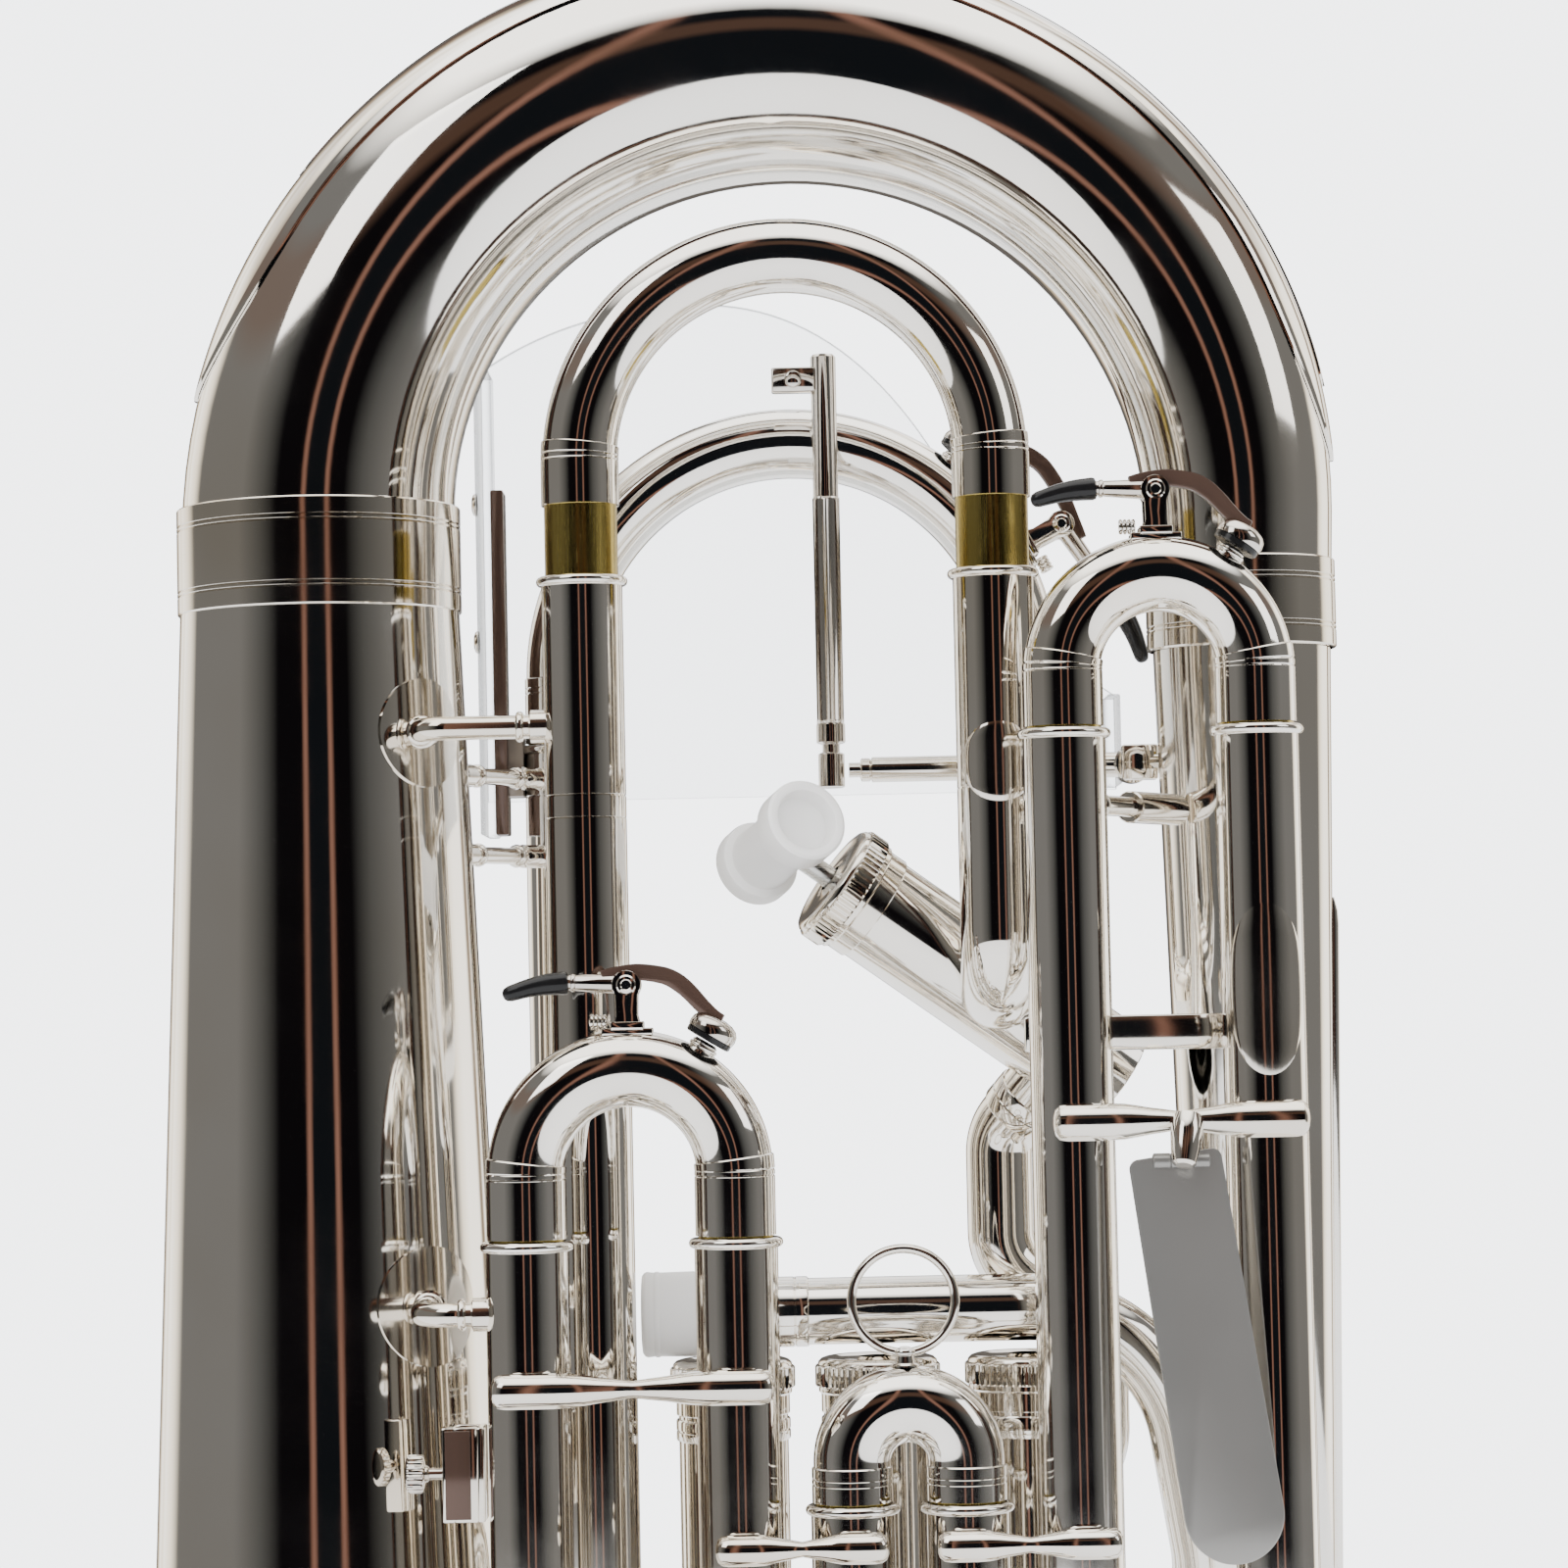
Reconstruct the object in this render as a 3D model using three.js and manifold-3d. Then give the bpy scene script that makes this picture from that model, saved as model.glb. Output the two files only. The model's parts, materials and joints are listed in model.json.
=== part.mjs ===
// Compensating four-valve euphonium, standing upside down on its bell.
// Millimetres, +Z up. X runs from the bell branch (left) to the small branch (right), -Y is the front.
import * as THREE from 'three';
import { mergeVertices } from 'three/addons/utils/BufferGeometryUtils.js';
import Module from 'manifold-3d';

const wasm = await Module();
wasm.setup();

// ---------------------------------------------------------------- driving dimensions
const GAP = 0.3;                 // clearance between neighbouring pieces
const WALL = 0.8;                // wall of the large tubes
const TUBE_SIDES = 10;           // facets round a narrow tube
const BIG_SIDES = 24;            // facets round the bell and the bow
const VALVE_SIDES = 12;          // facets round a valve casing, its caps and its piston
const bendStep = (radius) => THREE.MathUtils.degToRad(radius > 50 ? 22.5 : 30);

const BRANCH_X = 103.5;          // the two branches stand this far left and right
const BOW_Z = 531;               // centre of the bottom bow
const BOW_RADII = [30.8, 26.3, 20.3];
const BELL_TOP = 524;            // joint between bell branch and bow
const BELL_RADIUS = 155;         // rim of the bell
const BELL_TAPER = 0.0385;       // radius gained per mm down the bell branch
const FLARE_LENGTH = 36;         // the flare opens e-fold over this height
const SMALL_TOP = 510;           // joint between bow and small branch
const SMALL_END = { x: 107, y: 26, z: 199, radius: 13.5 };

const TUBE_R = 8.8;              // outer slide tubes
const TUBE_BORE = 8.3;
const LEG_R = 7.95;              // inner slide legs, which run in the bore
const LEG_BORE = 7.35;
const CROOK_R = 8.4;             // crook and its two ferrules

const VALVE = { radius: 12, bore: 10.2, bottom: 168, top: 341, capR: 14.25, y: -14 };
const VALVE_XS = [-14, 17.9, 50.8];
const PISTON_R = 9.9;

const FRONT_Y = -56;             // plane of the three front slides
const FOURTH_Y = -34;            // plane of the fourth slide
const MAIN_Y = 36;               // plane of the main tuning slide

const FOURTH_AXIS = new THREE.Vector3(0.8, 0.17, -0.575).normalize();
const FOURTH_CAP = new THREE.Vector3(10, -18, 450);
const FOURTH_LENGTH = 78;

// ---------------------------------------------------------------- finishes
const finish = (color, roughness, metalness = 1) =>
  new THREE.MeshStandardMaterial({ color, roughness, metalness });
const SILVER = finish(0xdedbd3, 0.12);
const NICKEL = finish(0x8f8a80, 0.2);
const STEEL = finish(0xb9b9b6, 0.3);
const PLASTIC = finish(0xe8e6e2, 0.4, 0);
const ACRYLIC = new THREE.MeshStandardMaterial({
  color: 0xf4f7f8, roughness: 0.05, metalness: 0, transparent: true, opacity: 0.25,
});

// ---------------------------------------------------------------- scene graph
const euphonium = new THREE.Group();

function add(name, geometry, material, place = null) {
  const mesh = new THREE.Mesh(geometry, material.clone());
  mesh.name = name;
  if (place) {
    mesh.position.copy(place.position);
    mesh.quaternion.copy(place.quaternion);
  }
  euphonium.add(mesh);
  return mesh;
}

const vec = (x, y, z) => new THREE.Vector3(x, y, z);

// ---------------------------------------------------------------- bent tubes
// The arc that rounds a corner between two straight runs.
class FilletArc extends THREE.Curve {
  constructor(corner, into, outOf, radius) {
    super();
    this.angle = into.angleTo(outOf);
    this.radius = radius;
    this.setback = radius * Math.tan(this.angle / 2);
    this.start = corner.clone().addScaledVector(into, -this.setback);
    this.end = corner.clone().addScaledVector(outOf, this.setback);
    this.axis = into.clone().cross(outOf).normalize();
    this.centre = this.start.clone().addScaledVector(this.axis.clone().cross(into), radius);
  }

  getPoint(t, target = new THREE.Vector3()) {
    target.copy(this.start).sub(this.centre).applyAxisAngle(this.axis, t * this.angle);
    return target.add(this.centre);
  }

  getLength() {
    return this.radius * this.angle;
  }
}

// Straight runs through the given points, with each corner rounded to its radius.
class Route {
  constructor(points, radii = []) {
    this.pieces = [];
    this.length = 0;
    let from = points[0];
    for (let i = 1; i < points.length; i += 1) {
      const into = points[i].clone().sub(points[i - 1]).normalize();
      let to = points[i];
      let arc = null;
      if (i < points.length - 1) {
        const outOf = points[i + 1].clone().sub(points[i]).normalize();
        arc = new FilletArc(points[i], into, outOf, Array.isArray(radii) ? radii[i - 1] : radii);
        to = arc.start;
      }
      if (from.distanceTo(to) > 0.05) this.push(new THREE.LineCurve3(from, to), into, null);
      if (arc) this.push(arc, into, arc);
      from = arc ? arc.end : to;
    }
  }

  push(curve, tangent, arc) {
    const length = curve.getLength();
    this.pieces.push({ curve, tangent, arc, start: this.length, length });
    this.length += length;
  }

  // Ring positions needed inside the bends.
  bendMarks() {
    return this.pieces.filter((piece) => piece.arc).flatMap((piece) => {
      const count = Math.ceil(piece.arc.angle / bendStep(piece.arc.radius) - 0.01);
      return Array.from({ length: count + 1 }, (_, i) => piece.start + (piece.length * i) / count);
    });
  }

  // Point and cross axes at a distance; the axes turn with the bends and never twist.
  frameAt(distance) {
    const first = this.pieces[0].tangent;
    const side = this.firstSide(first);
    for (const piece of this.pieces) {
      const last = piece === this.pieces[this.pieces.length - 1];
      const along = Math.min(distance - piece.start, last ? Infinity : piece.length);
      const t = along / piece.length;
      if (distance <= piece.start + piece.length + 1e-6 || last) {
        const tangent = piece.tangent.clone();
        if (piece.arc) {
          tangent.applyAxisAngle(piece.arc.axis, t * piece.arc.angle);
          side.applyAxisAngle(piece.arc.axis, t * piece.arc.angle);
        }
        return { point: piece.curve.getPoint(t), side, tangent, across: side.clone().cross(tangent) };
      }
      if (piece.arc) side.applyAxisAngle(piece.arc.axis, piece.arc.angle);
    }
    return null;
  }

  firstSide(tangent) {
    const side = Math.abs(tangent.y) < 0.9 ? vec(0, 1, 0) : vec(1, 0, 0);
    return side.addScaledVector(tangent, -side.dot(tangent)).normalize();
  }
}

// [distance, radius] keys, with extra rings at the bend marks that lie between them.
function ringsAt(keys, marks) {
  const rings = [];
  keys.forEach(([s, r], i) => {
    rings.push([s, r]);
    if (i === keys.length - 1) return;
    const [nextS, nextR] = keys[i + 1];
    marks.filter((mark) => mark > s + 0.4 && mark < nextS - 0.4).forEach((mark) => {
      rings.push([mark, THREE.MathUtils.mapLinear(mark, s, nextS, r, nextR)]);
    });
  });
  return rings;
}

// A round tube along a route. Without a bore the tube is solid.
function tube(route, outer, bore = null, sides = TUBE_SIDES) {
  const marks = route.bendMarks();
  const skin = ringsAt(outer, marks);
  const first = outer[0][0];
  const last = outer[outer.length - 1][0];
  const inner = bore === null ? [[first, 0], [last, 0]]
    : ringsAt(typeof bore === 'number' ? [[first, bore], [last, bore]] : bore, marks);
  const profile = [...skin, ...inner.reverse()].map(([s, r]) => new THREE.Vector2(r, s));
  profile.push(profile[0].clone());
  const geometry = new THREE.LatheGeometry(profile, sides);
  const spots = geometry.attributes.position;
  for (let i = 0; i < spots.count; i += 1) {
    const { point, side, across } = route.frameAt(spots.getY(i));
    point.addScaledVector(side, spots.getX(i)).addScaledVector(across, spots.getZ(i));
    spots.setXYZ(i, point.x, point.y, point.z);
  }
  geometry.computeVertexNormals();
  return geometry;
}

const straight = (from, to) => new Route([from, to]);
const upright = (x, y, z0, z1) => straight(vec(x, y, z0), vec(x, y, z1));

// A turned piece standing upright at (x, y): keys are [height, radius].
function turned(x, y, outer, bore = null, sides = 16) {
  const base = outer[0][0];
  const shift = (keys) => keys.map(([z, r]) => [z - base, r]);
  const route = upright(x, y, base, Math.max(...outer.map(([z]) => z)));
  return tube(route, shift(outer), Array.isArray(bore) ? shift(bore) : bore, sides);
}

// ---------------------------------------------------------------- solids and sheets
function toSolid(geometry) {
  const bare = geometry.clone();
  bare.deleteAttribute('normal');
  bare.deleteAttribute('uv');
  const merged = mergeVertices(bare, 1e-4);
  const corners = merged.index.array;
  const kept = [];
  for (let i = 0; i < corners.length; i += 3) {
    const [a, b, c] = corners.slice(i, i + 3);
    if (a !== b && b !== c && a !== c) kept.push(a, b, c);
  }
  return new wasm.Manifold(new wasm.Mesh({
    numProp: 3,
    vertProperties: Float32Array.from(merged.attributes.position.array),
    triVerts: Uint32Array.from(kept),
  }));
}

function fromSolid(solid) {
  const mesh = solid.getMesh();
  const geometry = new THREE.BufferGeometry();
  geometry.setAttribute('position', new THREE.BufferAttribute(mesh.vertProperties, 3));
  geometry.setIndex(new THREE.BufferAttribute(mesh.triVerts, 1));
  geometry.computeVertexNormals();
  return geometry;
}

const cut = (geometry, ...tools) =>
  fromSolid(tools.reduce((solid, tool) => solid.subtract(toSolid(tool)), toSolid(geometry)));
const join = (...pieces) =>
  fromSolid(pieces.slice(1).reduce((solid, piece) => solid.add(toSolid(piece)), toSolid(pieces[0])));

function box(x0, x1, y0, y1, z0, z1) {
  const geometry = new THREE.BoxGeometry(x1 - x0, y1 - y0, z1 - z0);
  return geometry.translate((x0 + x1) / 2, (y0 + y1) / 2, (z0 + z1) / 2);
}

// A closed shell between two grids of points, front[i][j] and back[i][j].
function sheet(front, back) {
  const rows = front.length;
  const columns = front[0].length;
  const points = [...front.flat(), ...back.flat()];
  const index = [];
  const f = (i, j) => i * columns + j;
  const b = (i, j) => rows * columns + i * columns + j;
  const quad = (p, q, r, s) => index.push(p, q, r, p, r, s);
  for (let i = 0; i < rows - 1; i += 1) {
    for (let j = 0; j < columns - 1; j += 1) {
      quad(f(i, j), f(i, j + 1), f(i + 1, j + 1), f(i + 1, j));
      quad(b(i, j), b(i + 1, j), b(i + 1, j + 1), b(i, j + 1));
    }
    quad(f(i, 0), f(i + 1, 0), b(i + 1, 0), b(i, 0));
    quad(f(i + 1, columns - 1), f(i, columns - 1), b(i, columns - 1), b(i + 1, columns - 1));
  }
  for (let j = 0; j < columns - 1; j += 1) {
    quad(f(0, j + 1), f(0, j), b(0, j), b(0, j + 1));
    quad(f(rows - 1, j), f(rows - 1, j + 1), b(rows - 1, j + 1), b(rows - 1, j));
  }
  const geometry = new THREE.BufferGeometry().setFromPoints(points);
  geometry.setIndex(index);
  geometry.computeVertexNormals();
  return geometry;
}

// ---------------------------------------------------------------- bell and large branches
const BELL_SPOT = vec(-BRANCH_X, 0, 0);
const bellRadius = (z) => BOW_RADII[0] + BELL_TAPER * (BELL_TOP - z)
  + (BELL_RADIUS - BOW_RADII[0] - BELL_TAPER * BELL_TOP) * Math.exp(-z / FLARE_LENGTH);

// The wall is measured square to the flare. It is thicker near the rim, where the bead stiffens it.
function bell() {
  const rise = [6, 15, 27, 45, 75, 125, 220, BELL_TOP - GAP];
  const outer = rise.map((z) => [z, bellRadius(z)]);
  const inner = rise.map((z) => {
    const slope = (bellRadius(z + 1) - bellRadius(z - 1)) / 2;
    const wall = (z < 100 ? 1.6 : WALL) / Math.hypot(1, slope);
    return [z + slope * wall, bellRadius(z) - wall];
  });
  inner[inner.length - 1][0] = BELL_TOP - GAP;
  const rimOuter = [[0, BELL_RADIUS - 1], [1.2, BELL_RADIUS], [3.4, BELL_RADIUS - 1]];
  const rimInner = [[0, BELL_RADIUS - 6], [1.8, BELL_RADIUS - 8]];
  return turned(BELL_SPOT.x, 0, [...rimOuter, ...outer], [...rimInner, ...inner], BIG_SIDES);
}

function ferrule(x, y, z0, z1, radius) {
  const skin = radius + 1.1;
  return turned(x, y, [[z0, skin - 0.5], [z0 + 1, skin], [z1 - 1, skin], [z1, skin - 0.5]], radius + GAP,
    BIG_SIDES);
}

const bowTop = BOW_Z + BRANCH_X;
const bowRoute = new Route([
  vec(-BRANCH_X, 0, BELL_TOP + GAP), vec(-BRANCH_X, 0, bowTop),
  vec(BRANCH_X, 0, bowTop), vec(BRANCH_X, 0, SMALL_TOP + GAP),
], BRANCH_X);
const bowStops = [0, BOW_Z - BELL_TOP - GAP + BRANCH_X * Math.PI / 2, bowRoute.length];
const bowKeys = BOW_RADII.map((r, i) => [bowStops[i], r]);
const bowRadius = (s) => {
  const part = s < bowStops[1] ? 0 : 1;
  return THREE.MathUtils.mapLinear(s, ...bowStops.slice(part, part + 2), ...BOW_RADII.slice(part, part + 2));
};

// A plate over the outside of the bow, with a rounded tongue at each end.
function bowGuard() {
  const from = 30;
  const to = bowRoute.length - 30;
  const columns = 7;
  const between = bowRoute.bendMarks().filter((mark) => mark > from + 20 && mark < to - 20);
  const stops = [from, from + 5, from + 14, ...between, to - 14, to - 5, to];
  const grid = (lift) => stops.map((s) => {
    const tongue = Math.sqrt(Math.min(1, Math.min(s - from, to - s) / 28 + 0.04));
    const { point, side, across } = bowRoute.frameAt(s);
    return Array.from({ length: columns }, (_, j) => {
      const turn = 0.75 * tongue * (1 - (2 * j) / (columns - 1));
      const r = bowRadius(s) + lift;
      return point.clone().addScaledVector(across, -r * Math.cos(turn))
        .addScaledVector(side, r * Math.sin(turn));
    });
  });
  return sheet(grid(2), grid(1.1));
}

add('bell', bell(), SILVER);
add('bell_ferrule', ferrule(-BRANCH_X, 0, 512, 536, BOW_RADII[0] + 0.5), SILVER);
add('bottom_bow', tube(bowRoute, bowKeys, bowKeys.map(([s, r]) => [s, r - WALL]), BIG_SIDES), SILVER);
add('bow_guard', bowGuard(), SILVER);
add('branch_ferrule', ferrule(BRANCH_X, 0, 500, 520, BOW_RADII[2] + 0.3), SILVER);

const smallEnd = vec(SMALL_END.x, SMALL_END.y, SMALL_END.z);
const smallRoute = new Route([vec(BRANCH_X, 0, SMALL_TOP - GAP), vec(BRANCH_X, 0, 494), smallEnd], 60);
const smallKeys = [[0, BOW_RADII[2] - 0.2], [smallRoute.length, SMALL_END.radius]];
add('small_branch', tube(smallRoute, smallKeys, smallKeys.map(([s, r]) => [s, r - WALL]), 20), SILVER);

const MAIN = { x: 2.6, radius: 54, z: 499.4, bottom: 200, top: 484 };
const mainLeft = MAIN.x - MAIN.radius;
const mainRight = MAIN.x + MAIN.radius;
const topBowRoute = new Route([
  vec(SMALL_END.x, SMALL_END.y, SMALL_END.z - GAP), vec(SMALL_END.x + 1, 32, 110),
  vec(mainLeft, MAIN_Y, 110), vec(mainLeft, MAIN_Y, MAIN.bottom - GAP),
], 78);
const topBowKeys = [[0, SMALL_END.radius], [topBowRoute.length, TUBE_R]];
add('top_bow', tube(topBowRoute, topBowKeys, topBowKeys.map(([s, r]) => [s, r - 0.7]), 14), SILVER);

// ---------------------------------------------------------------- valves
const casingAxis = (x, from, to) => straight(vec(x, VALVE.y, from), vec(x, VALVE.y, to));
const capKeys = [[0, 12.9], [1.6, VALVE.capR], [10.4, VALVE.capR], [12, 13.2]];
const capBore = (hole) => [[0, hole], [3.4, hole], [3.5, VALVE.radius + GAP], [12, VALVE.radius + GAP]];

function casing(x) {
  const height = VALVE.top - VALVE.bottom;
  const body = tube(casingAxis(x, VALVE.bottom, VALVE.top), [[0, VALVE.radius], [height, VALVE.radius]],
    null, VALVE_SIDES);
  const back = VALVE.y + 9;
  const loop = new Route([vec(x, back, 305), vec(x, back + 19, 305), vec(x, back + 19, 275),
    vec(x, back, 275)], 12);
  const bore = tube(casingAxis(x, VALVE.bottom - 1, VALVE.top + 1),
    [[0, VALVE.bore], [height + 2, VALVE.bore]], null, VALVE_SIDES);
  return cut(join(body, tube(loop, [[0, 5.6], [loop.length, 5.6]], null, 8)), bore);
}

// A piston with its stem and finger button, along a route that starts at the button.
function piston(route, stem, body) {
  const inner = PISTON_R - 1.2;
  const outer = [[0, 7.5], [1.2, 8.6], [3.6, 8.6], [4.4, 2.6], [stem, 2.6], [stem + 0.2, PISTON_R],
    [stem + body, PISTON_R]];
  return tube(route, outer, [[0, 0], [stem + 3, 0], [stem + 3.2, inner], [stem + body, inner]], VALVE_SIDES);
}

VALVE_XS.forEach((x, i) => {
  const number = i + 1;
  const bottomCap = straight(vec(x, VALVE.y, VALVE.top + 4.2), vec(x, VALVE.y, VALVE.top - 7.8));
  const topCap = straight(vec(x, VALVE.y, VALVE.bottom - 4.2), vec(x, VALVE.y, VALVE.bottom + 7.8));
  add(`valve_casing_${number}`, casing(x), SILVER);
  add(`valve_bottom_cap_${number}`, tube(bottomCap, capKeys, capBore(4), VALVE_SIDES), SILVER);
  add(`valve_top_cap_${number}`, tube(topCap, capKeys, capBore(3.2), VALVE_SIDES), SILVER);
  add(`piston_${number}`, piston(casingAxis(x, 130, 318), 62, 126), STEEL);
});

const alongFourth = (t) => FOURTH_CAP.clone().addScaledVector(FOURTH_AXIS, t);
const fourthCasing = straight(alongFourth(3.8), alongFourth(FOURTH_LENGTH));
const fourthBody = [[0, VALVE.radius], [FOURTH_LENGTH - 3.8, VALVE.radius]];
add('valve_casing_4', tube(fourthCasing, fourthBody, VALVE.bore, VALVE_SIDES), SILVER);
const fourthCapAxis = straight(alongFourth(-0.4), alongFourth(11.6));
add('valve_top_cap_4', tube(fourthCapAxis, capKeys, capBore(3.2), VALVE_SIDES), SILVER);
const fourthStem = [[0, 3.4], [0.8, 4.2], [3.2, 4.2], [3.4, 2.4], [24, 2.4], [24.2, PISTON_R],
  [66, PISTON_R]];
const fourthBore = [[0, 0], [27, 0], [27.2, PISTON_R - 1.2], [66, PISTON_R - 1.2]];
const fourthPistonAxis = straight(alongFourth(-16.6), alongFourth(49.4));
add('piston_4', tube(fourthPistonAxis, fourthStem, fourthBore, VALVE_SIDES), STEEL);

const casingTool = (i) => tube(casingAxis(VALVE_XS[i], VALVE.bottom, VALVE.top),
  [[0, VALVE.radius + GAP], [VALVE.top - VALVE.bottom, VALVE.radius + GAP]], null, VALVE_SIDES);
const fourthTool = tube(straight(alongFourth(-6), alongFourth(FOURTH_LENGTH + 6)),
  [[0, VALVE.radius + GAP], [FOURTH_LENGTH + 12, VALVE.radius + GAP]], null, VALVE_SIDES);

// A hollow spool clipped over the fourth stem, between the cap and the finger button.
function valveGuard() {
  const axis = vec(0.409, -0.858, 0.314).normalize();
  const middle = alongFourth(-14);
  const end = (t) => middle.clone().addScaledVector(axis, t);
  const spool = tube(straight(end(-15), end(15)),
    [[0, 9.1], [4.5, 9.1], [5, 7.6], [22, 7.6], [22.5, 9.1], [30, 9.1]], 6.3, 20);
  const slot = tube(straight(alongFourth(-16), alongFourth(0)), [[0, 2.8], [16, 2.8]], null, 10);
  return cut(spool, slot);
}
add('valve_guard', valveGuard(), PLASTIC);

// ---------------------------------------------------------------- slides
// An outer slide tube, open at the top, with a bent lower end cut to a casing.
function outerTube(route, tool) {
  const body = tube(route, [[0, TUBE_R], [route.length, TUBE_R]], TUBE_BORE);
  return tool ? cut(body, tool) : body;
}

const slideTube = (x, y, top, bottom, target) =>
  new Route([vec(x, y, top), vec(x, y, bottom), vec(target.x, target.y, bottom)], 13);

// Two legs and a crook, with a step where the ferrules begin.
function slide(x, y, z, radius, legEnd, ferruleLength) {
  const top = z + radius;
  const route = new Route([vec(x - radius, y, legEnd), vec(x - radius, y, top),
    vec(x + radius, y, top), vec(x + radius, y, legEnd)], radius);
  const leg = z - legEnd;
  const joint = leg - ferruleLength;
  const last = route.length;
  const keys = [[0, LEG_R], [joint, LEG_R], [joint + 0.2, CROOK_R], [last - joint - 0.2, CROOK_R],
    [last - joint, LEG_R], [last, LEG_R]];
  return tube(route, keys, LEG_BORE);
}

const FIRST = { x: -34.1, radius: 22, z: 388, bead: 374.2, end: 312 };
const SECOND = { x: 23.3, radius: 12, z: 326.6, bead: 318, end: 284 };
const THIRD = { x: 79.8, radius: 20.4, z: 492, bead: 479.9, end: 406 };
const FOURTH = { x: 1.65, radius: 44.65, z: 541, bead: 516.4, end: 470 };
const at = (i) => ({ x: VALVE_XS[i], y: VALVE.y });

[['first', FIRST, 0, [200, 226]], ['second', SECOND, 1, [232, 204]], ['third', THIRD, 2, [232, 204]]]
  .forEach(([name, size, valve, bottoms]) => {
    ['left', 'right'].forEach((hand, i) => {
      const x = size.x + (i ? size.radius : -size.radius);
      const route = slideTube(x, FRONT_Y, size.bead, bottoms[i], at(valve));
      add(`${name}_slide_tube_${hand}`, outerTube(route, casingTool(valve)), SILVER);
    });
  });

const fourthLeft = slideTube(FOURTH.x - FOURTH.radius, FOURTH_Y, FOURTH.bead, 252, at(0));
const fourthRight = slideTube(FOURTH.x + FOURTH.radius, FOURTH_Y, FOURTH.bead, 425, { x: 46.3, y: -10 });
add('fourth_slide_tube_left', outerTube(fourthLeft, casingTool(0)), SILVER);
add('fourth_slide_tube_right', outerTube(fourthRight, fourthTool), SILVER);
add('main_slide_tube_left', outerTube(upright(mainLeft, MAIN_Y, MAIN.top, MAIN.bottom + GAP)), SILVER);
const mainKnuckle = new Route([vec(mainRight, MAIN_Y, MAIN.top), vec(mainRight, MAIN_Y, 422),
  vec(mainRight - 2, -8, 419)], 12);
add('main_slide_tube_right', outerTube(mainKnuckle, fourthTool), SILVER);

// ---------------------------------------------------------------- water keys
// Each key lies in the plane of its crook. Local x runs along the crook and local y away from it.
const KEY = { rise: 9.5, half: 2.4 };
const SHORT_KEY = { reach: 18, tip: 26, tipRise: 0, crest: 2 };
const LONG_KEY = { reach: 27, tip: 37.5, tipRise: 2.4, crest: 4.6 };

function plate(outline, halfWidth) {
  const shape = new THREE.Shape(outline.map(([x, y]) => new THREE.Vector2(x, y)));
  const options = { depth: 2 * halfWidth, bevelEnabled: false };
  return new THREE.ExtrudeGeometry(shape, options).translate(0, 0, -halfWidth);
}

function keyLayout(bend, key) {
  const skin = bend + 8.1;
  const turn = Math.asin(key.reach / (skin + 4.5));
  const polar = (r) => vec(Math.sin(turn) * r, Math.cos(turn) * r - skin - KEY.rise, 0);
  return { skin, polar };
}

function keyLever(bend, key) {
  const { skin, polar } = keyLayout(bend, key);
  const cupTop = polar(skin + 7);
  const tipY = key.tipRise;
  const shoulder = key.reach - 8;
  const outline = [[-key.tip, tipY - 1.2], [-12, 0.2], [-3, -2.2], [3, -2.2], [shoulder, key.crest - 1.7],
    [cupTop.x - 1, cupTop.y - 1], [cupTop.x + 2, cupTop.y + 1], [shoulder + 0.5, key.crest], [3, 2.2],
    [-3, 2.2], [-12, 2.4], [-key.tip, tipY + 1]];
  const cup = tube(straight(polar(skin + 2.2), polar(skin + 7)), [[0, 4.3], [4.8, 3.9]], null, 12);
  const pinHole = tube(straight(vec(0, 0, -4), vec(0, 0, 4)), [[0, 1.3], [8, 1.3]], null, 8);
  return cut(join(plate(outline, KEY.half), cup), pinHole);
}

function keyMount(bend, key) {
  const { skin, polar } = keyLayout(bend, key);
  const cheek = (side) => box(-2.6, 2.6, -KEY.rise - 1.2, 2.4, 0, 1.1).translate(0, 0, side);
  const pin = tube(straight(vec(0, 0, -3.6), vec(0, 0, 3.6)), [[0, 1], [7.2, 1]], null, 8);
  const nipple = tube(straight(polar(skin - 0.7), polar(skin + 1.8)), [[0, 2.6], [2.5, 2.4]], null, 10);
  const foot = box(-3.4, 3.4, -KEY.rise - 0.5, -KEY.rise + 1.6, -3.8, 3.8);
  return [cheek(2.7), cheek(-3.8), pin, nipple, foot];
}

// Turns a local piece upright at a point of the crook; the mirror puts the cup on the other side.
function ontoCrook(geometry, centre, bend, angle, mirrored = false) {
  const out = geometry.clone();
  if (mirrored) out.rotateY(Math.PI);
  out.translate(0, bend + 8.1 + KEY.rise, 0).rotateX(Math.PI / 2).rotateY(angle);
  return out.translate(centre.x, centre.y, centre.z);
}

function slideWithKey(geometry, centre, bend, angle, mirrored, key) {
  const mount = keyMount(bend, key).map((piece) => ontoCrook(piece, centre, bend, angle, mirrored));
  return join(geometry, ...mount);
}

const keySites = [
  ['first', vec(FIRST.x, FRONT_Y, FIRST.z), FIRST.radius, 0, false, SHORT_KEY],
  ['third', vec(THIRD.x, FRONT_Y, THIRD.z), THIRD.radius, 0, false, SHORT_KEY],
  ['main', vec(MAIN.x, MAIN_Y, MAIN.z), MAIN.radius, THREE.MathUtils.degToRad(62), true, LONG_KEY],
];
keySites.forEach(([name, centre, bend, angle, mirrored, key]) => {
  add(`water_key_${name}`, ontoCrook(keyLever(bend, key), centre, bend, angle, mirrored), NICKEL);
});

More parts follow.
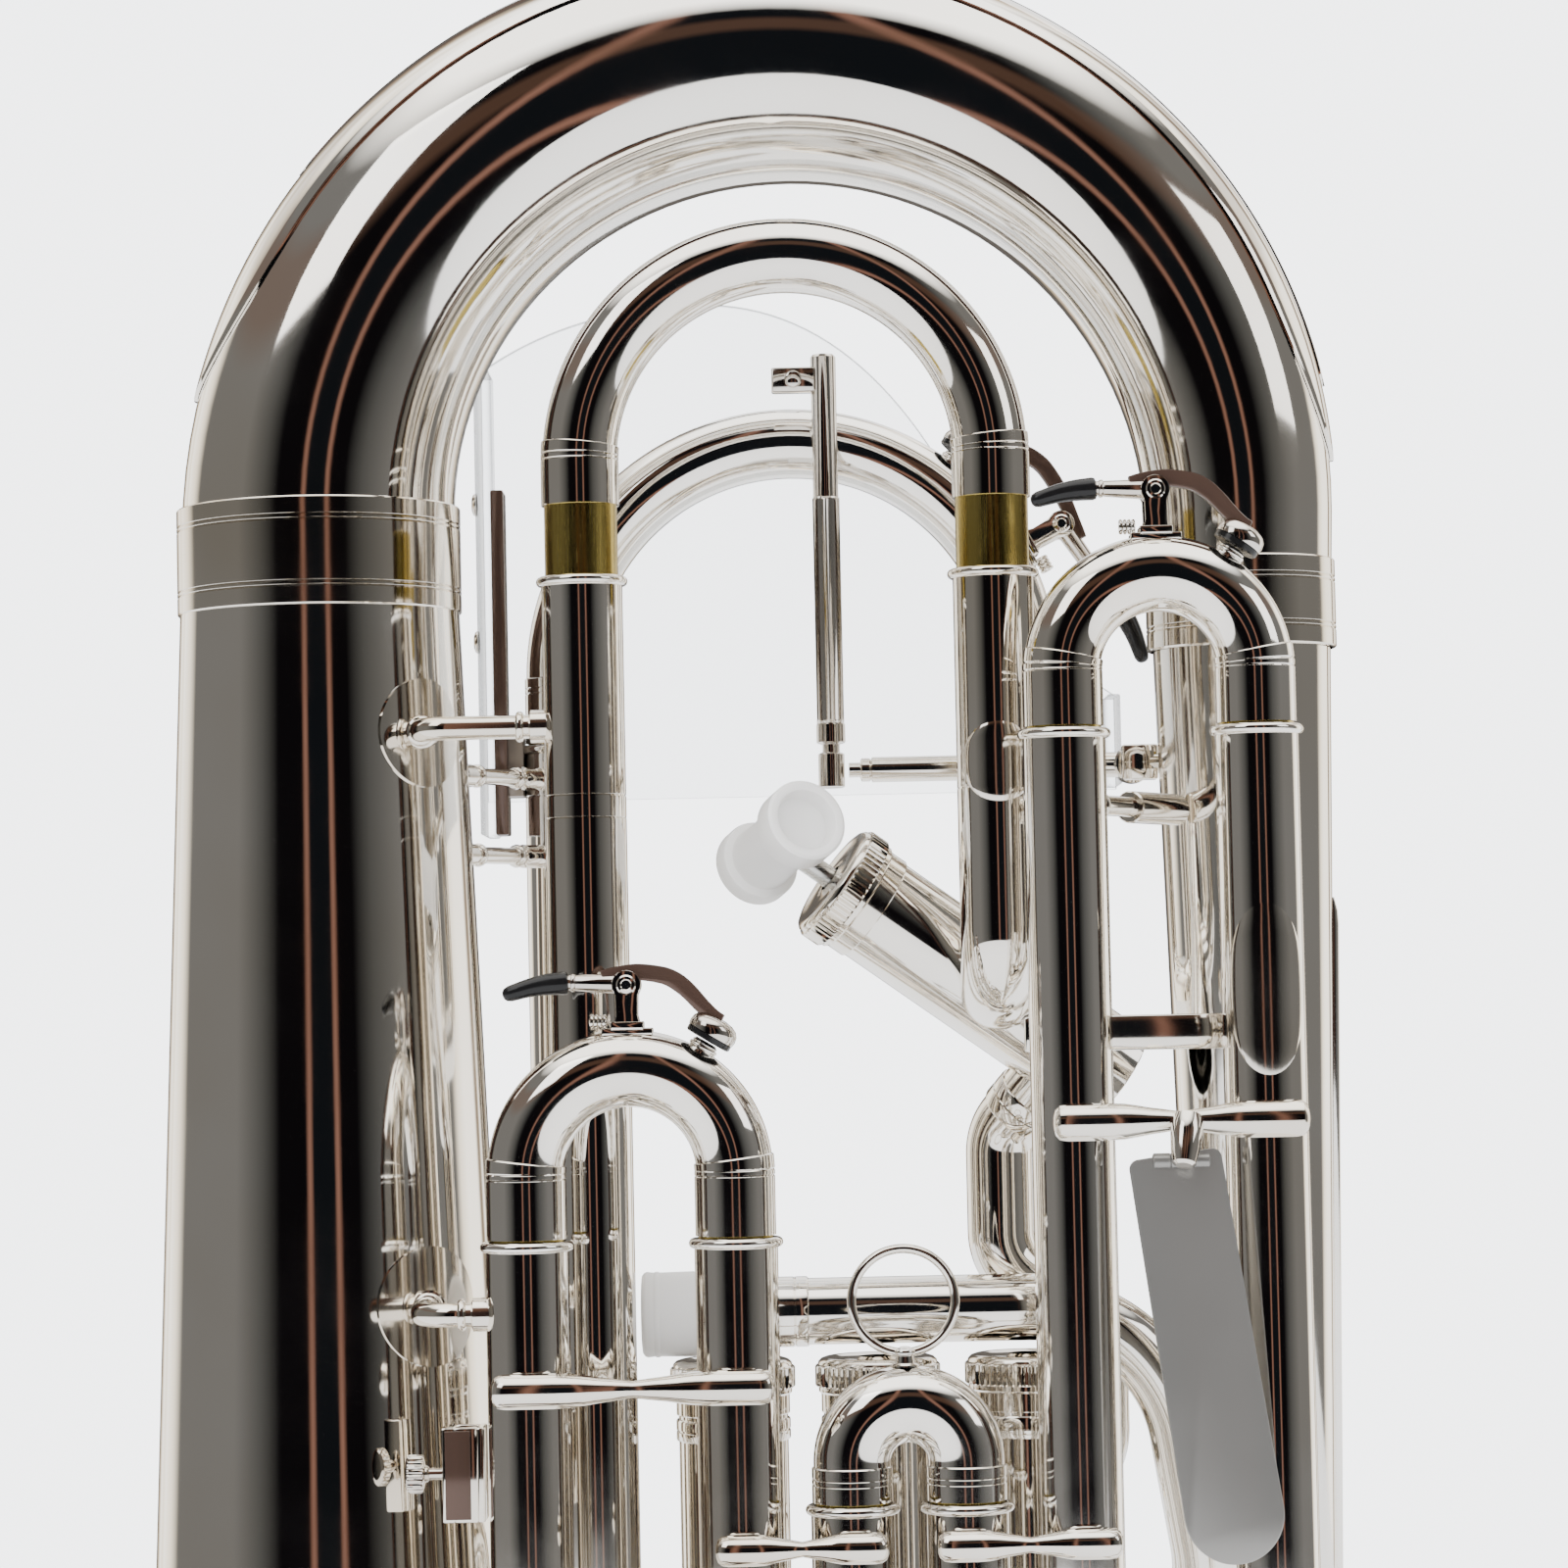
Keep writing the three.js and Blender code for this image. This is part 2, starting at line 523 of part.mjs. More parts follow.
const firstCrook = slide(FIRST.x, FRONT_Y, FIRST.z, FIRST.radius, FIRST.end, 4.6);
const thirdCrook = slide(THIRD.x, FRONT_Y, THIRD.z, THIRD.radius, THIRD.end, 3.5);
const mainCrook = slide(MAIN.x, MAIN_Y, MAIN.z, MAIN.radius, 440, 13);
add('first_slide', slideWithKey(firstCrook, ...keySites[0].slice(1)), SILVER);
add('third_slide', slideWithKey(thirdCrook, ...keySites[1].slice(1)), SILVER);
add('main_slide', slideWithKey(mainCrook, ...keySites[2].slice(1)), SILVER);
add('second_slide', slide(SECOND.x, FRONT_Y, SECOND.z, SECOND.radius, SECOND.end, 6.5), SILVER);
add('fourth_slide', slide(FOURTH.x, FOURTH_Y, FOURTH.z, FOURTH.radius, FOURTH.end, 7.5), SILVER);

const RING = { x: 22.8, z: 360.1, radius: 10.9, wire: 1 };
const ring = new THREE.TorusGeometry(RING.radius, RING.wire, 6, 16).rotateX(Math.PI / 2);
add('pull_ring', ring.translate(RING.x, FRONT_Y, RING.z), SILVER);

// ---------------------------------------------------------------- leadpipe and crossover
const LEAD = { y: -15.5, z: 355.3, radius: 6.9, start: -31 };
const leadRoute = new Route([
  vec(LEAD.start, LEAD.y, LEAD.z), vec(80, LEAD.y, LEAD.z), vec(89, -14, 300), vec(88, 8, 185),
  vec(VALVE_XS[0], 8, 185), vec(VALVE_XS[0], VALVE.y, 185)], [34, 30, 26, 9.5]);
const leadKeys = [[0, 7.2], [10, 7.2], [10.4, LEAD.radius], [leadRoute.length, 7.6]];
const leadBore = [[0, 6.2], [12, 5.4], [leadRoute.length, 6.9]];
add('leadpipe', cut(tube(leadRoute, leadKeys, leadBore), casingTool(0)), SILVER);
const capRoute = straight(vec(LEAD.start - 2.6, LEAD.y, LEAD.z), vec(LEAD.start + 9.6, LEAD.y, LEAD.z));
add('receiver_cap', tube(capRoute, [[0, 8.6], [0.7, 9.35], [12.2, 9.35]],
  [[0, 0], [2.2, 0], [2.3, 7.6], [12.2, 7.6]], 16), PLASTIC);

const crossRoute = new Route([
  vec(VALVE_XS[2], VALVE.y, 316), vec(67, 5, 316), vec(67, 5, 350), vec(46.5, 4, 364),
  vec(46.5, 4, 393), vec(60, -7, 409)], [11, 12, 13, 11]);
const crossBody = tube(crossRoute, [[0, 7.4], [crossRoute.length, 7.4]], 6.7, 10);
add('crossover_tube', cut(crossBody, casingTool(2), fourthTool), SILVER);

// ---------------------------------------------------------------- braces
// A cast bar in front of two tubes, swelling into a lobe where it meets each of them.
function waveBrace(x0, x1, z, thick = 2.3) {
  const y = FRONT_Y - TUBE_R - GAP - thick;
  const waist = thick * 0.62;
  const length = x1 - x0;
  const keys = [[0, thick * 0.8], [1.2, thick], [length * 0.3, thick], [length * 0.38, waist],
    [length * 0.62, waist], [length * 0.7, thick], [length - 1.2, thick], [length, thick * 0.8]];
  return tube(straight(vec(x0, y, z), vec(x1, y, z)), keys, null, 8);
}

const BRACE_Y = FRONT_Y - TUBE_R - GAP - 2.6;
const HINGE = { x: 81, y: BRACE_Y + 0.4, z: 388.6 };
const lug = tube(straight(vec(HINGE.x + 1.5, BRACE_Y - 1, 397), vec(HINGE.x, BRACE_Y - 5.6, 388)),
  [[0, 3.2], [3, 3.4], [10, 2.6]], null, 10);
add('wave_brace_first', waveBrace(-63.5, -4.5, 343.7), SILVER);
add('wave_brace_middle_left', waveBrace(-17.5, 18.5, 310), SILVER);
add('wave_brace_middle_right', waveBrace(28.5, 67, 310), SILVER);
add('wave_brace_third', join(waveBrace(54.5, 108, 397, 2.6), lug), SILVER);
add('flat_brace_bar', box(50.2, 96.5, -46.8, -43.2, 411.5, 419), SILVER);

const stay = (points, bends, r = 2.6) => {
  const route = new Route(points, bends);
  return tube(route, [[0, r + 1], [3, r + 1], [3.5, r], [route.length - 5, r], [route.length - 4.5, r + 1],
    [route.length, r + 1]], null, 10);
};
const upperStay = stay([vec(-79, -25.2, 484), vec(-79, FOURTH_Y, 484), vec(-52.2, FOURTH_Y, 484)], 5);
const lowerStay = stay([vec(-79, -32, 359), vec(-79, FRONT_Y, 359), vec(-65.3, FRONT_Y, 359)], 8);
add('bell_brace_upper', upperStay, SILVER);
add('bell_brace_lower', lowerStay, SILVER);

const LYRE = { x: -70.6, y: -47, z: 325 };
const lyreBlock = box(LYRE.x - 4.6, LYRE.x + 4.6, LYRE.y - 4.6, LYRE.y + 4.6, LYRE.z - 10, LYRE.z + 10);
const lyreSlot = box(LYRE.x - 1.7, LYRE.x + 2.9, LYRE.y - 2.4, LYRE.y + 2.4, LYRE.z - 11, LYRE.z + 11);
const screwHole = tube(straight(vec(LYRE.x - 6, LYRE.y, LYRE.z), vec(LYRE.x, LYRE.y, LYRE.z)),
  [[0, 1.6], [6, 1.6]], null, 10);
add('lyre_box', cut(lyreBlock, lyreSlot, screwHole), SILVER);
const screwRoute = straight(vec(LYRE.x - 12.6, LYRE.y, LYRE.z), vec(LYRE.x - 0.9, LYRE.y, LYRE.z));
const screwKeys = [[0, 3.4], [0.6, 4.1], [4, 4.1], [4.4, 1.3], [11.7, 1.3]];
add('lyre_screw', tube(screwRoute, screwKeys, null, 14), NICKEL);

// ---------------------------------------------------------------- hand guard
const GUARD = { y: 50, thick: 3, left: -70, right: 78.5, bottom: 471.7, top: 589 };
function handGuard() {
  const outline = new THREE.Shape();
  outline.moveTo(GUARD.left, GUARD.bottom);
  outline.lineTo(GUARD.right, GUARD.bottom);
  outline.lineTo(GUARD.right, 494);
  outline.quadraticCurveTo(52, 512, 44, 540);
  outline.quadraticCurveTo(20, GUARD.top, -18, GUARD.top);
  outline.quadraticCurveTo(-48, GUARD.top, GUARD.left, 574);
  const options = { depth: GUARD.thick, bevelEnabled: false, curveSegments: 6 };
  const panel = new THREE.ExtrudeGeometry(outline, options).rotateX(Math.PI / 2);
  panel.translate(0, GUARD.y + GUARD.thick, 0);
  const wing = box(GUARD.left, GUARD.left + GUARD.thick, 24, GUARD.y + 1, 463, 572);
  const tab = box(GUARD.right - GUARD.thick, GUARD.right, 32, GUARD.y + 1, 472, 493);
  return join(panel, wing, tab);
}
add('hand_guard', handGuard(), ACRYLIC);
const barLeft = GUARD.left + GUARD.thick + GAP;
add('guard_bar', join(box(barLeft, barLeft + 3, 27, 37, 463, 543),
  box(barLeft + 2.5, mainLeft - TUBE_R - GAP, 30, 41, 472, 490)), NICKEL);

// ---------------------------------------------------------------- trigger of the main slide
const ROD = { x: 11, y: 21.5, top: 572, bottom: 472 };
const CRANK = { x: 80, y: 21.5, z: 476, arm: 65 };
function triggerRod() {
  const rod = straight(vec(ROD.x, ROD.y, ROD.bottom), vec(ROD.x, ROD.y, ROD.top));
  const keys = [[0, 3], [8, 3], [8.2, 2], [10, 2], [10.2, 3.3], [59, 3.3], [59.4, 2.9], [100, 2.9]];
  const body = tube(rod, keys, null, 10);
  const clamp = box(ROD.x - 12, ROD.x - 2, ROD.y - 2.5, ROD.y + 2.5, 563.4, 569);
  return join(body, clamp);
}
add('trigger_rod', triggerRod(), STEEL);

function triggerCrank() {
  const tip = ROD.x + 4;
  const arm = straight(vec(tip, CRANK.y, CRANK.z), vec(CRANK.x, CRANK.y, CRANK.z));
  const length = arm.length;
  const bar = tube(arm, [[0, 1.2], [3, 1.2], [3.2, 2.2], [5, 2.2], [5.2, 2.9], [length, 2.9]], null, 10);
  const hub = tube(straight(vec(CRANK.x, CRANK.y - 3.6, CRANK.z), vec(CRANK.x, CRANK.y + 3.6, CRANK.z)),
    [[0, 4.4], [7.2, 4.4]], null, 14);
  const hole = tube(straight(vec(CRANK.x, CRANK.y - 9, CRANK.z), vec(CRANK.x, CRANK.y + 9, CRANK.z)),
    [[0, 1.9], [18, 1.9]], null, 10);
  return cut(join(bar, hub), hole);
}
add('trigger_crank', triggerCrank(), SILVER);
const crankPin = tube(straight(vec(CRANK.x, 12, CRANK.z), vec(CRANK.x, CRANK.y + 5, CRANK.z)),
  [[0, 1.5], [CRANK.y - 7, 1.5]], null, 10);
add('crank_bracket', join(crankPin, box(CRANK.x - 3, CRANK.x + 5, 10.6, 15.6, 472, 480)), SILVER);

// The thumb paddle: a leaning plate with a round end, hung from a barrel under the third brace.
const PADDLE = { top: 390, bottom: 305.5, width: 19.4, thick: 1.8, lean: 0.075, tilt: 0.135 };
function paddle() {
  const half = PADDLE.width / 2;
  const length = PADDLE.top - PADDLE.bottom;
  const outline = new THREE.Shape();
  outline.moveTo(-half + 2, 0);
  outline.absarc(half - 2, -2, 2, Math.PI / 2, 0, true);
  outline.lineTo(half + 0.6, -length + half);
  outline.absarc(0, -length + half, half + 0.6, 0, -Math.PI, true);
  outline.lineTo(-half, -2);
  const options = { depth: PADDLE.thick, bevelEnabled: false, curveSegments: 10 };
  const blade = new THREE.ExtrudeGeometry(outline, options).rotateX(Math.PI / 2);
  blade.rotateX(-PADDLE.lean).rotateY(-PADDLE.tilt).translate(HINGE.x - 1.5, HINGE.y + 0.9, PADDLE.top);
  const barrel = tube(straight(vec(HINGE.x - 6, HINGE.y, HINGE.z), vec(HINGE.x + 6, HINGE.y, HINGE.z)),
    [[0, 1.7], [12, 1.7]], null, 10);
  return join(blade, barrel);
}
add('trigger_paddle', paddle(), STEEL);

// ---------------------------------------------------------------- origin under the middle of the box
euphonium.updateMatrixWorld(true);
const bounds = new THREE.Box3().setFromObject(euphonium, true);
const centre = bounds.getCenter(new THREE.Vector3());
euphonium.position.set(-centre.x, -centre.y, -bounds.min.z);

export default euphonium;
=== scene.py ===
"""A silver-plated compensating euphonium, standing upside down on its bell.

Lengths are in millimetres in the instrument's own frame: x = 0 half way between the bell branch and the
small branch, y = 0 in their plane, z = 0 under the bell rim. Every mesh is written in metres in the CAD
frame, which lies beside it by ORIGIN_X.
"""
import json
import math
from types import SimpleNamespace

import bpy
import numpy as np
from mathutils import Matrix, Vector


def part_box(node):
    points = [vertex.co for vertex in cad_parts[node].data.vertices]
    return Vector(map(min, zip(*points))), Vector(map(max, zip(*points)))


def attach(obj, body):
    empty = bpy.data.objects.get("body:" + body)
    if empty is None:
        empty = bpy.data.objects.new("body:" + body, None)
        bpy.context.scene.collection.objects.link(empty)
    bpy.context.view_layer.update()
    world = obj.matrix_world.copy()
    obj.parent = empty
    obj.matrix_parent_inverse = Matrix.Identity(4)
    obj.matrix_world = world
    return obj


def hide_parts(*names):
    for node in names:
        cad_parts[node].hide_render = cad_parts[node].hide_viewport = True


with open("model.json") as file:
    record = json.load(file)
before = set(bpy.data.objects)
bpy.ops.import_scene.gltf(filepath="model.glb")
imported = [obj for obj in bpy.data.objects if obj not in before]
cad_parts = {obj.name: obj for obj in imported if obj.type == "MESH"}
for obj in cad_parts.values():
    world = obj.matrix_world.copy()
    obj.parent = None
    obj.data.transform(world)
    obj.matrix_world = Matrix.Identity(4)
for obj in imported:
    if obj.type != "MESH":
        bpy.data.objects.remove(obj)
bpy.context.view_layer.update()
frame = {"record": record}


def vec(x, y, z):
    return np.array([x, y, z], float)


def unit(v):
    v = np.asarray(v, float)
    return v / np.linalg.norm(v)


# ---- driving dimensions
BRANCH_X = 103.5
BOW_Z = 531.0
BOW_RADII = (30.8, 26.3, 20.3)
BELL_TOP = 524.0
BELL_RADIUS = 155.0
BELL_TAPER = 0.0385
BELL_WALL = 0.8
BRANCH_WALL = 0.7
FLARE_LENGTH = 36.0
SMALL_TOP = 510.0
SMALL_END = vec(107, 26, 199)
SMALL_END_R = 13.5

TUBE_R = 8.8
BORE_R = 8.3
LEG_R = 7.95
LEG_BORE = 7.35
CROOK_R = 8.1
FERRULE_R = 8.75

VALVE_Y = -14.0
VALVE_XS = (-14.0, 17.9, 50.8)
CASING_R = 12.0
CASING_BOTTOM = 168.0
CASING_TOP = 341.0

FRONT_Y = -56.0
FOURTH_Y = -34.0
MAIN_Y = 36.0
FOURTH_AXIS = unit((0.8, 0.17, -0.575))
FOURTH_CAP = vec(10, -18, 450)
FOURTH_LENGTH = 78.0


def slide(x, bend, **sizes):
    """A slide: its crook's centre and bend, the heights of its tubes' bead and of its legs' end and foot."""
    return SimpleNamespace(x=x, bend=bend, left=x - bend, right=x + bend, **sizes)


FIRST = slide(-34.1, 22.0, y=FRONT_Y, z=388.0, bead=374.2, end=312.0, foot=374.5, rim=2.6)
SECOND = slide(23.3, 12.0, y=FRONT_Y, z=326.6, bead=318.0, end=284.0, foot=318.3, rim=-1.0)
THIRD = slide(79.8, 20.4, y=FRONT_Y, z=492.0, bead=479.9, end=406.0, foot=480.2, rim=3.6)
FOURTH = slide(1.65, 44.65, y=FOURTH_Y, z=541.0, bead=516.4, end=470.0, foot=531.7, rim=4.2)
MAIN = slide(2.6, 54.0, y=MAIN_Y, z=499.4, bead=484.0, end=440.0, foot=484.3, rim=0.0)
MAIN_BOTTOM = 200.0

ROUND = 56                      # facets round a slide tube
BIG_ROUND = 112                 # facets round the bell and the bow
BEND_STEP = math.radians(3.0)
SHORTEST_RUN = 0.05             # a shorter straight part or gap between rings is left out
SMOOTH_ANGLE = math.radians(32)

bell_low, bell_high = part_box("bell")
ORIGIN_X = (bell_low.x + bell_high.x) * 500 + BRANCH_X

node_body = {node: body
             for body, nodes in frame["record"]["behaviour"]["bodies"].items() for node in nodes}
node_slot = {row["node"]: row["material_slot"] for row in frame["record"]["subparts"]}


def turn_about(v, axis, angle):
    """v turned about a unit axis."""
    return (v * math.cos(angle) + np.cross(axis, v) * math.sin(angle)
            + axis * np.dot(axis, v) * (1 - math.cos(angle)))


def rotated(a, b, angle):
    """Two coordinates turned in their plane."""
    return a * math.cos(angle) - b * math.sin(angle), a * math.sin(angle) + b * math.cos(angle)


# ---- pieces
def merged(parts):
    """Several (points, faces) shapes as one."""
    points, faces, start = [], [], 0
    for some_points, some_faces in parts:
        points.append(some_points)
        faces.extend([tuple(i + start for i in face) for face in some_faces])
        start += len(some_points)
    return np.vstack(points), faces


def new_object(name, shape):
    """An object from a shape in millimetres, or from a list of shapes."""
    points, faces = merged(shape) if isinstance(shape, list) else shape
    mesh = bpy.data.meshes.new(name)
    mesh.from_pydata(((points + [ORIGIN_X, 0, 0]) / 1000).tolist(), [], faces)
    obj = bpy.data.objects.new(name, mesh)
    bpy.context.scene.collection.objects.link(obj)
    return obj


def piece(name, shape, material, body, slot):
    """A visible piece that rides on a CAD body."""
    obj = new_object(name, shape)
    obj.data.validate()
    for polygon in obj.data.polygons:
        polygon.use_smooth = True
    obj.data.set_sharp_from_angle(angle=SMOOTH_ANGLE)
    obj.data.materials.append(material)
    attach(obj, body)
    return obj


def stand_in(node, shape, material):
    """The fine surface of one CAD node."""
    obj = piece(node + ".fine", shape, material, node_body[node], node_slot[node])
    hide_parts(node)
    return obj


def detail(name, node, shape, material, slot=None):
    """A small extra piece that belongs to a CAD node's body."""
    return piece(name, shape, material, node_body[node], slot or node_slot[node])


# ---- bent tubes
class Route:
    """Straight runs through points, with each corner rounded to its radius."""

    def __init__(self, points, radii=0.0):
        points = [np.asarray(p, float) for p in points]
        self.pieces = []
        self.length = 0.0
        start = points[0]
        for i, radius in enumerate([*np.broadcast_to(radii, len(points) - 2), None], start=1):
            into = unit(points[i] - points[i - 1])
            end = points[i]
            if radius is not None:
                out = unit(points[i + 1] - points[i])
                angle = math.acos(max(-1.0, min(1.0, float(np.dot(into, out)))))
                axis = unit(np.cross(into, out))
                end = points[i] - into * (radius * math.tan(angle / 2))
            run = float(np.linalg.norm(end - start))
            if run > SHORTEST_RUN:
                self._push(run, into, start, None)
            start = end
            if radius is not None:
                centre = end + np.cross(axis, into) * radius
                self._push(radius * angle, into, start, (axis, angle, centre))
                start = centre + turn_about(end - centre, axis, angle)

    def _push(self, length, tangent, start, arc):
        self.pieces.append((self.length, length, tangent, start, arc))
        self.length += length

    def marks(self):
        """Distances where the bends need a ring."""
        found = []
        for at, length, _, _, arc in self.pieces:
            if arc:
                count = max(2, math.ceil(arc[1] / BEND_STEP))
                found += [at + length * i / count for i in range(count + 1)]
        return found

    def frame(self, distance):
        """Point, side and across at a distance; the axes never twist."""
        first = self.pieces[0][2]
        side = vec(0, 1, 0) if abs(first[1]) < 0.9 else vec(1, 0, 0)
        side = unit(side - first * np.dot(side, first))
        for at, length, tangent, start, arc in self.pieces:
            if distance <= at + length + 1e-6:
                break
            if arc:
                side = turn_about(side, arc[0], arc[1])
        along = distance - at
        if not arc:
            return start + tangent * along, side, np.cross(side, tangent)
        axis, angle, centre = arc
        angle = angle * along / length
        side = turn_about(side, axis, angle)
        tangent = turn_about(tangent, axis, angle)
        return centre + turn_about(start - centre, axis, angle), side, np.cross(side, tangent)


def straight(start, end):
    return Route([start, end])


def loft(rings, closed=False):
    """Skin over rings of equal size: capped at both ends, or closed into a loop."""
    count, n = len(rings), len(rings[0])
    faces = []
    for i in range(count if closed else count - 1):
        a, b = i * n, (i + 1) % count * n
        faces += [(a + j, a + (j + 1) % n, b + (j + 1) % n, b + j) for j in range(n)]
    if not closed:
        faces += [tuple(range(n))[::-1], tuple((count - 1) * n + j for j in range(n))]
    return np.vstack(rings), faces


def with_marks(keys, marks):
    """(distance, radius) keys with the bend rings between them, radii in proportion."""
    rings = []
    for (s, r), (next_s, next_r) in zip(keys, keys[1:]):
        rings.append((s, r))
        for mark in marks:
            if s + SHORTEST_RUN < mark < next_s - SHORTEST_RUN:
                rings.append((mark, r + (next_r - r) * (mark - s) / (next_s - s)))
    rings.append(keys[-1])
    return rings


def tube(route, outer, bore=None, sides=ROUND, ripple=None):
    """A round tube along a route, closed at both ends. ripple(s, turn) adds to the outer radius."""
    marks = route.marks()
    rings = [(s, r, ripple) for s, r in with_marks(outer, marks)]
    if bore is not None:
        keys = [(outer[0][0], bore), (outer[-1][0], bore)] if np.isscalar(bore) else bore
        rings += [(s, r, None) for s, r in with_marks(keys, marks)[::-1]]
    turns = np.arange(sides) * 2 * math.pi / sides
    points = []
    for s, r, wave in rings:
        point, side, across = route.frame(s)
        radius = r + (wave(s, turns) if wave else 0 * turns)
        points.append(point + np.outer(radius * np.sin(turns), side) + np.outer(radius * np.cos(turns), across))
    return loft(points, bore is not None)


def spindle(start, end, keys, sides=40, bore=None, ripple=None):
    """A turned piece between two points."""
    return tube(straight(start, end), keys, bore, sides, ripple)


def bead(s, r, proud=0.9, half=0.9, steps=6):
    """Keys of a half-round bead."""
    return [(s - half * math.cos(math.pi * i / steps), r + proud * math.sin(math.pi * i / steps))
            for i in range(steps + 1)]


def groove(s, r, deep=0.28, half=0.28):
    return [(s - half, r), (s, r - deep), (s + half, r)]


def sleeve(s0, s1, r, lift=0.4, grooves=()):
    """Keys of a sleeve with softened ends and turned grooves."""
    keys = [(s0, r), (s0 + 0.15, r + lift * 0.7), (s0 + 0.45, r + lift)]
    for s in sorted(grooves):
        keys += groove(s, r + lift)
    return keys + [(s1 - 0.45, r + lift), (s1 - 0.15, r + lift * 0.7), (s1, r)]


def both_ends(keys, length):
    """Keys at the start of a piece, and the same mirrored at its end."""
    return keys + [(length - s, r) for s, r in keys[::-1]]


def upright(x, y, z0, z1):
    return straight((x, y, z0), (x, y, z1))


def turned(x, y, keys, bore=None, sides=BIG_ROUND, ripple=None):
    """A turned piece on a vertical axis; keys are (height, radius)."""
    z0 = keys[0][0]
    z1 = max(z for z, _ in keys)
    outer = [(z - z0, r) for z, r in keys]
    inner = bore if bore is None or np.isscalar(bore) else [(z - z0, r) for z, r in bore]
    return tube(upright(x, y, z0, z1), outer, inner, sides, ripple)


def shell(rows, columns, place, lifts):
    """A closed shell over a grid: place(row, column, lift) gives its points at an upper and a lower lift."""
    front, back = (np.array([[place(row, column, lift) for column in columns] for row in rows]) for lift in lifts)
    n, m = len(rows), len(columns)
    offset = n * m
    faces = []
    for i in range(n - 1):
        for j in range(m - 1):
            p, q = i * m + j, (i + 1) * m + j
            faces.append((p, p + 1, q + 1, q))
            faces.append((offset + p, offset + q, offset + q + 1, offset + p + 1))
    rim = [*range(m), *range(2 * m - 1, offset, m), *range(offset - 2, offset - m - 1, -1),
           *range(offset - 2 * m, 0, -m)]
    faces += [(q, p, offset + p, offset + q) for p, q in zip(rim, rim[1:] + rim[:1])]
    return np.vstack([front.reshape(-1, 3), back.reshape(-1, 3)]), faces


def rounded_box(centre, half, bevel=0.5):
    """A block with its edges cut at 45 degrees in two steps."""
    layers = []
    for sign, inset, rise in ((-1, 1.0, 0.0), (-1, 0.35, 0.35), (-1, 0.0, 1.0),
                              (1, 0.0, 1.0), (1, 0.35, 0.35), (1, 1.0, 0.0)):
        x, y = half[0] - inset * bevel, half[1] - inset * bevel
        loop = []
        for sx, sy in ((1, 1), (-1, 1), (-1, -1), (1, -1)):
            ends = [(sx * (x - bevel * cut), sy * (y - bevel * other), sign * (half[2] - rise * bevel))
                    for cut, other in ((0, 1), (0.3, 0.3), (1, 0))]
            loop += ends if sx * sy > 0 else ends[::-1]
        layers.append(np.array(loop) + centre)
    return loft(layers)


# ---- materials
def feed(socket, value):
    """Links an output to a socket, or sets the socket's own value."""
    if isinstance(value, bpy.types.NodeSocket):
        socket.id_data.links.new(value, socket)
    else:
        socket.default_value = (*value, 1) if socket.type == "RGBA" else value


def add_node(tree, kind, output, inputs, **settings):
    """One output of a new node; its inputs are given by name or in order."""
    node = tree.nodes.new("ShaderNode" + kind)
    for name, value in settings.items():
        setattr(node, name, value)
    for key, value in inputs.items() if isinstance(inputs, dict) else enumerate(inputs):
        feed(node.inputs[key], value)
    return node.outputs[output]


def material(name, color, metallic, roughness, **sockets):
    mat = bpy.data.materials.new(name)
    mat.use_nodes = True
    shader = mat.node_tree.nodes["Principled BSDF"]
    sockets.update(Base_Color=color, Metallic=metallic, Roughness=roughness)
    for socket, value in sockets.items():
        feed(shader.inputs[socket.replace("_", " ")], value)
    return mat, mat.node_tree, shader


def noise(tree, scale, detail=4.0, roughness=0.5, stretch=None):
    """Noise in object space, in cycles per metre."""
    source = add_node(tree, "TexCoord", "Object", {})
    if stretch:
        source = add_node(tree, "Mapping", "Vector", {"Vector": source, "Scale": stretch})
    return add_node(tree, "TexNoise", "Fac",
                    {"Vector": source, "Scale": scale, "Detail": detail, "Roughness": roughness})


def remap(tree, source, low, high, to_low, to_high):
    return add_node(tree, "MapRange", "Result", {"Value": source, "From Min": low, "From Max": high,
                                                 "To Min": to_low, "To Max": to_high})


def blend(tree, factor, a, b):
    return add_node(tree, "Mix", "Result", {"Factor": factor, "A": a, "B": b}, data_type="RGBA")


def finish(name, color, metallic, roughness, grain, rough, bump, waves=None, tones=None, **sockets):
    """A material whose roughness, bumps and colour follow noises.

    grain is the roughness noise, rough its range and the roughness it gives; bump is the depth of waves, or of
    the grain; tones is a noise, its range and the two colours it blends.
    """
    mat, tree, shader = material(name, color, metallic, roughness, **sockets)
    texture = noise(tree, *grain)
    feed(shader.inputs["Roughness"], remap(tree, texture, *rough))
    height = noise(tree, *waves) if waves else texture
    feed(shader.inputs["Normal"], add_node(tree, "Bump", "Normal", {"Height": height, "Distance": bump,
                                                                    "Strength": 1.0}))
    if tones:
        tone_noise, low, high, color_a, color_b = tones
        factor = remap(tree, noise(tree, *tone_noise), low, high, 0, 1)
        feed(shader.inputs["Base Color"], blend(tree, factor, color_a, color_b))
    return mat


def plated(name, color, tarnish, roughness, bump=0.00002, metallic=1.0):
    """Polished plate: a mirror with faint hand-polished waves, smudges and warm tarnish in places."""
    return finish(name, color, metallic, roughness, (38, 5, 0.6), (0.35, 0.75, roughness, roughness + 0.07), bump,
                  (55, 2, 0.4), ((11, 3, 0.55), 0.42, 0.72, color, tarnish))


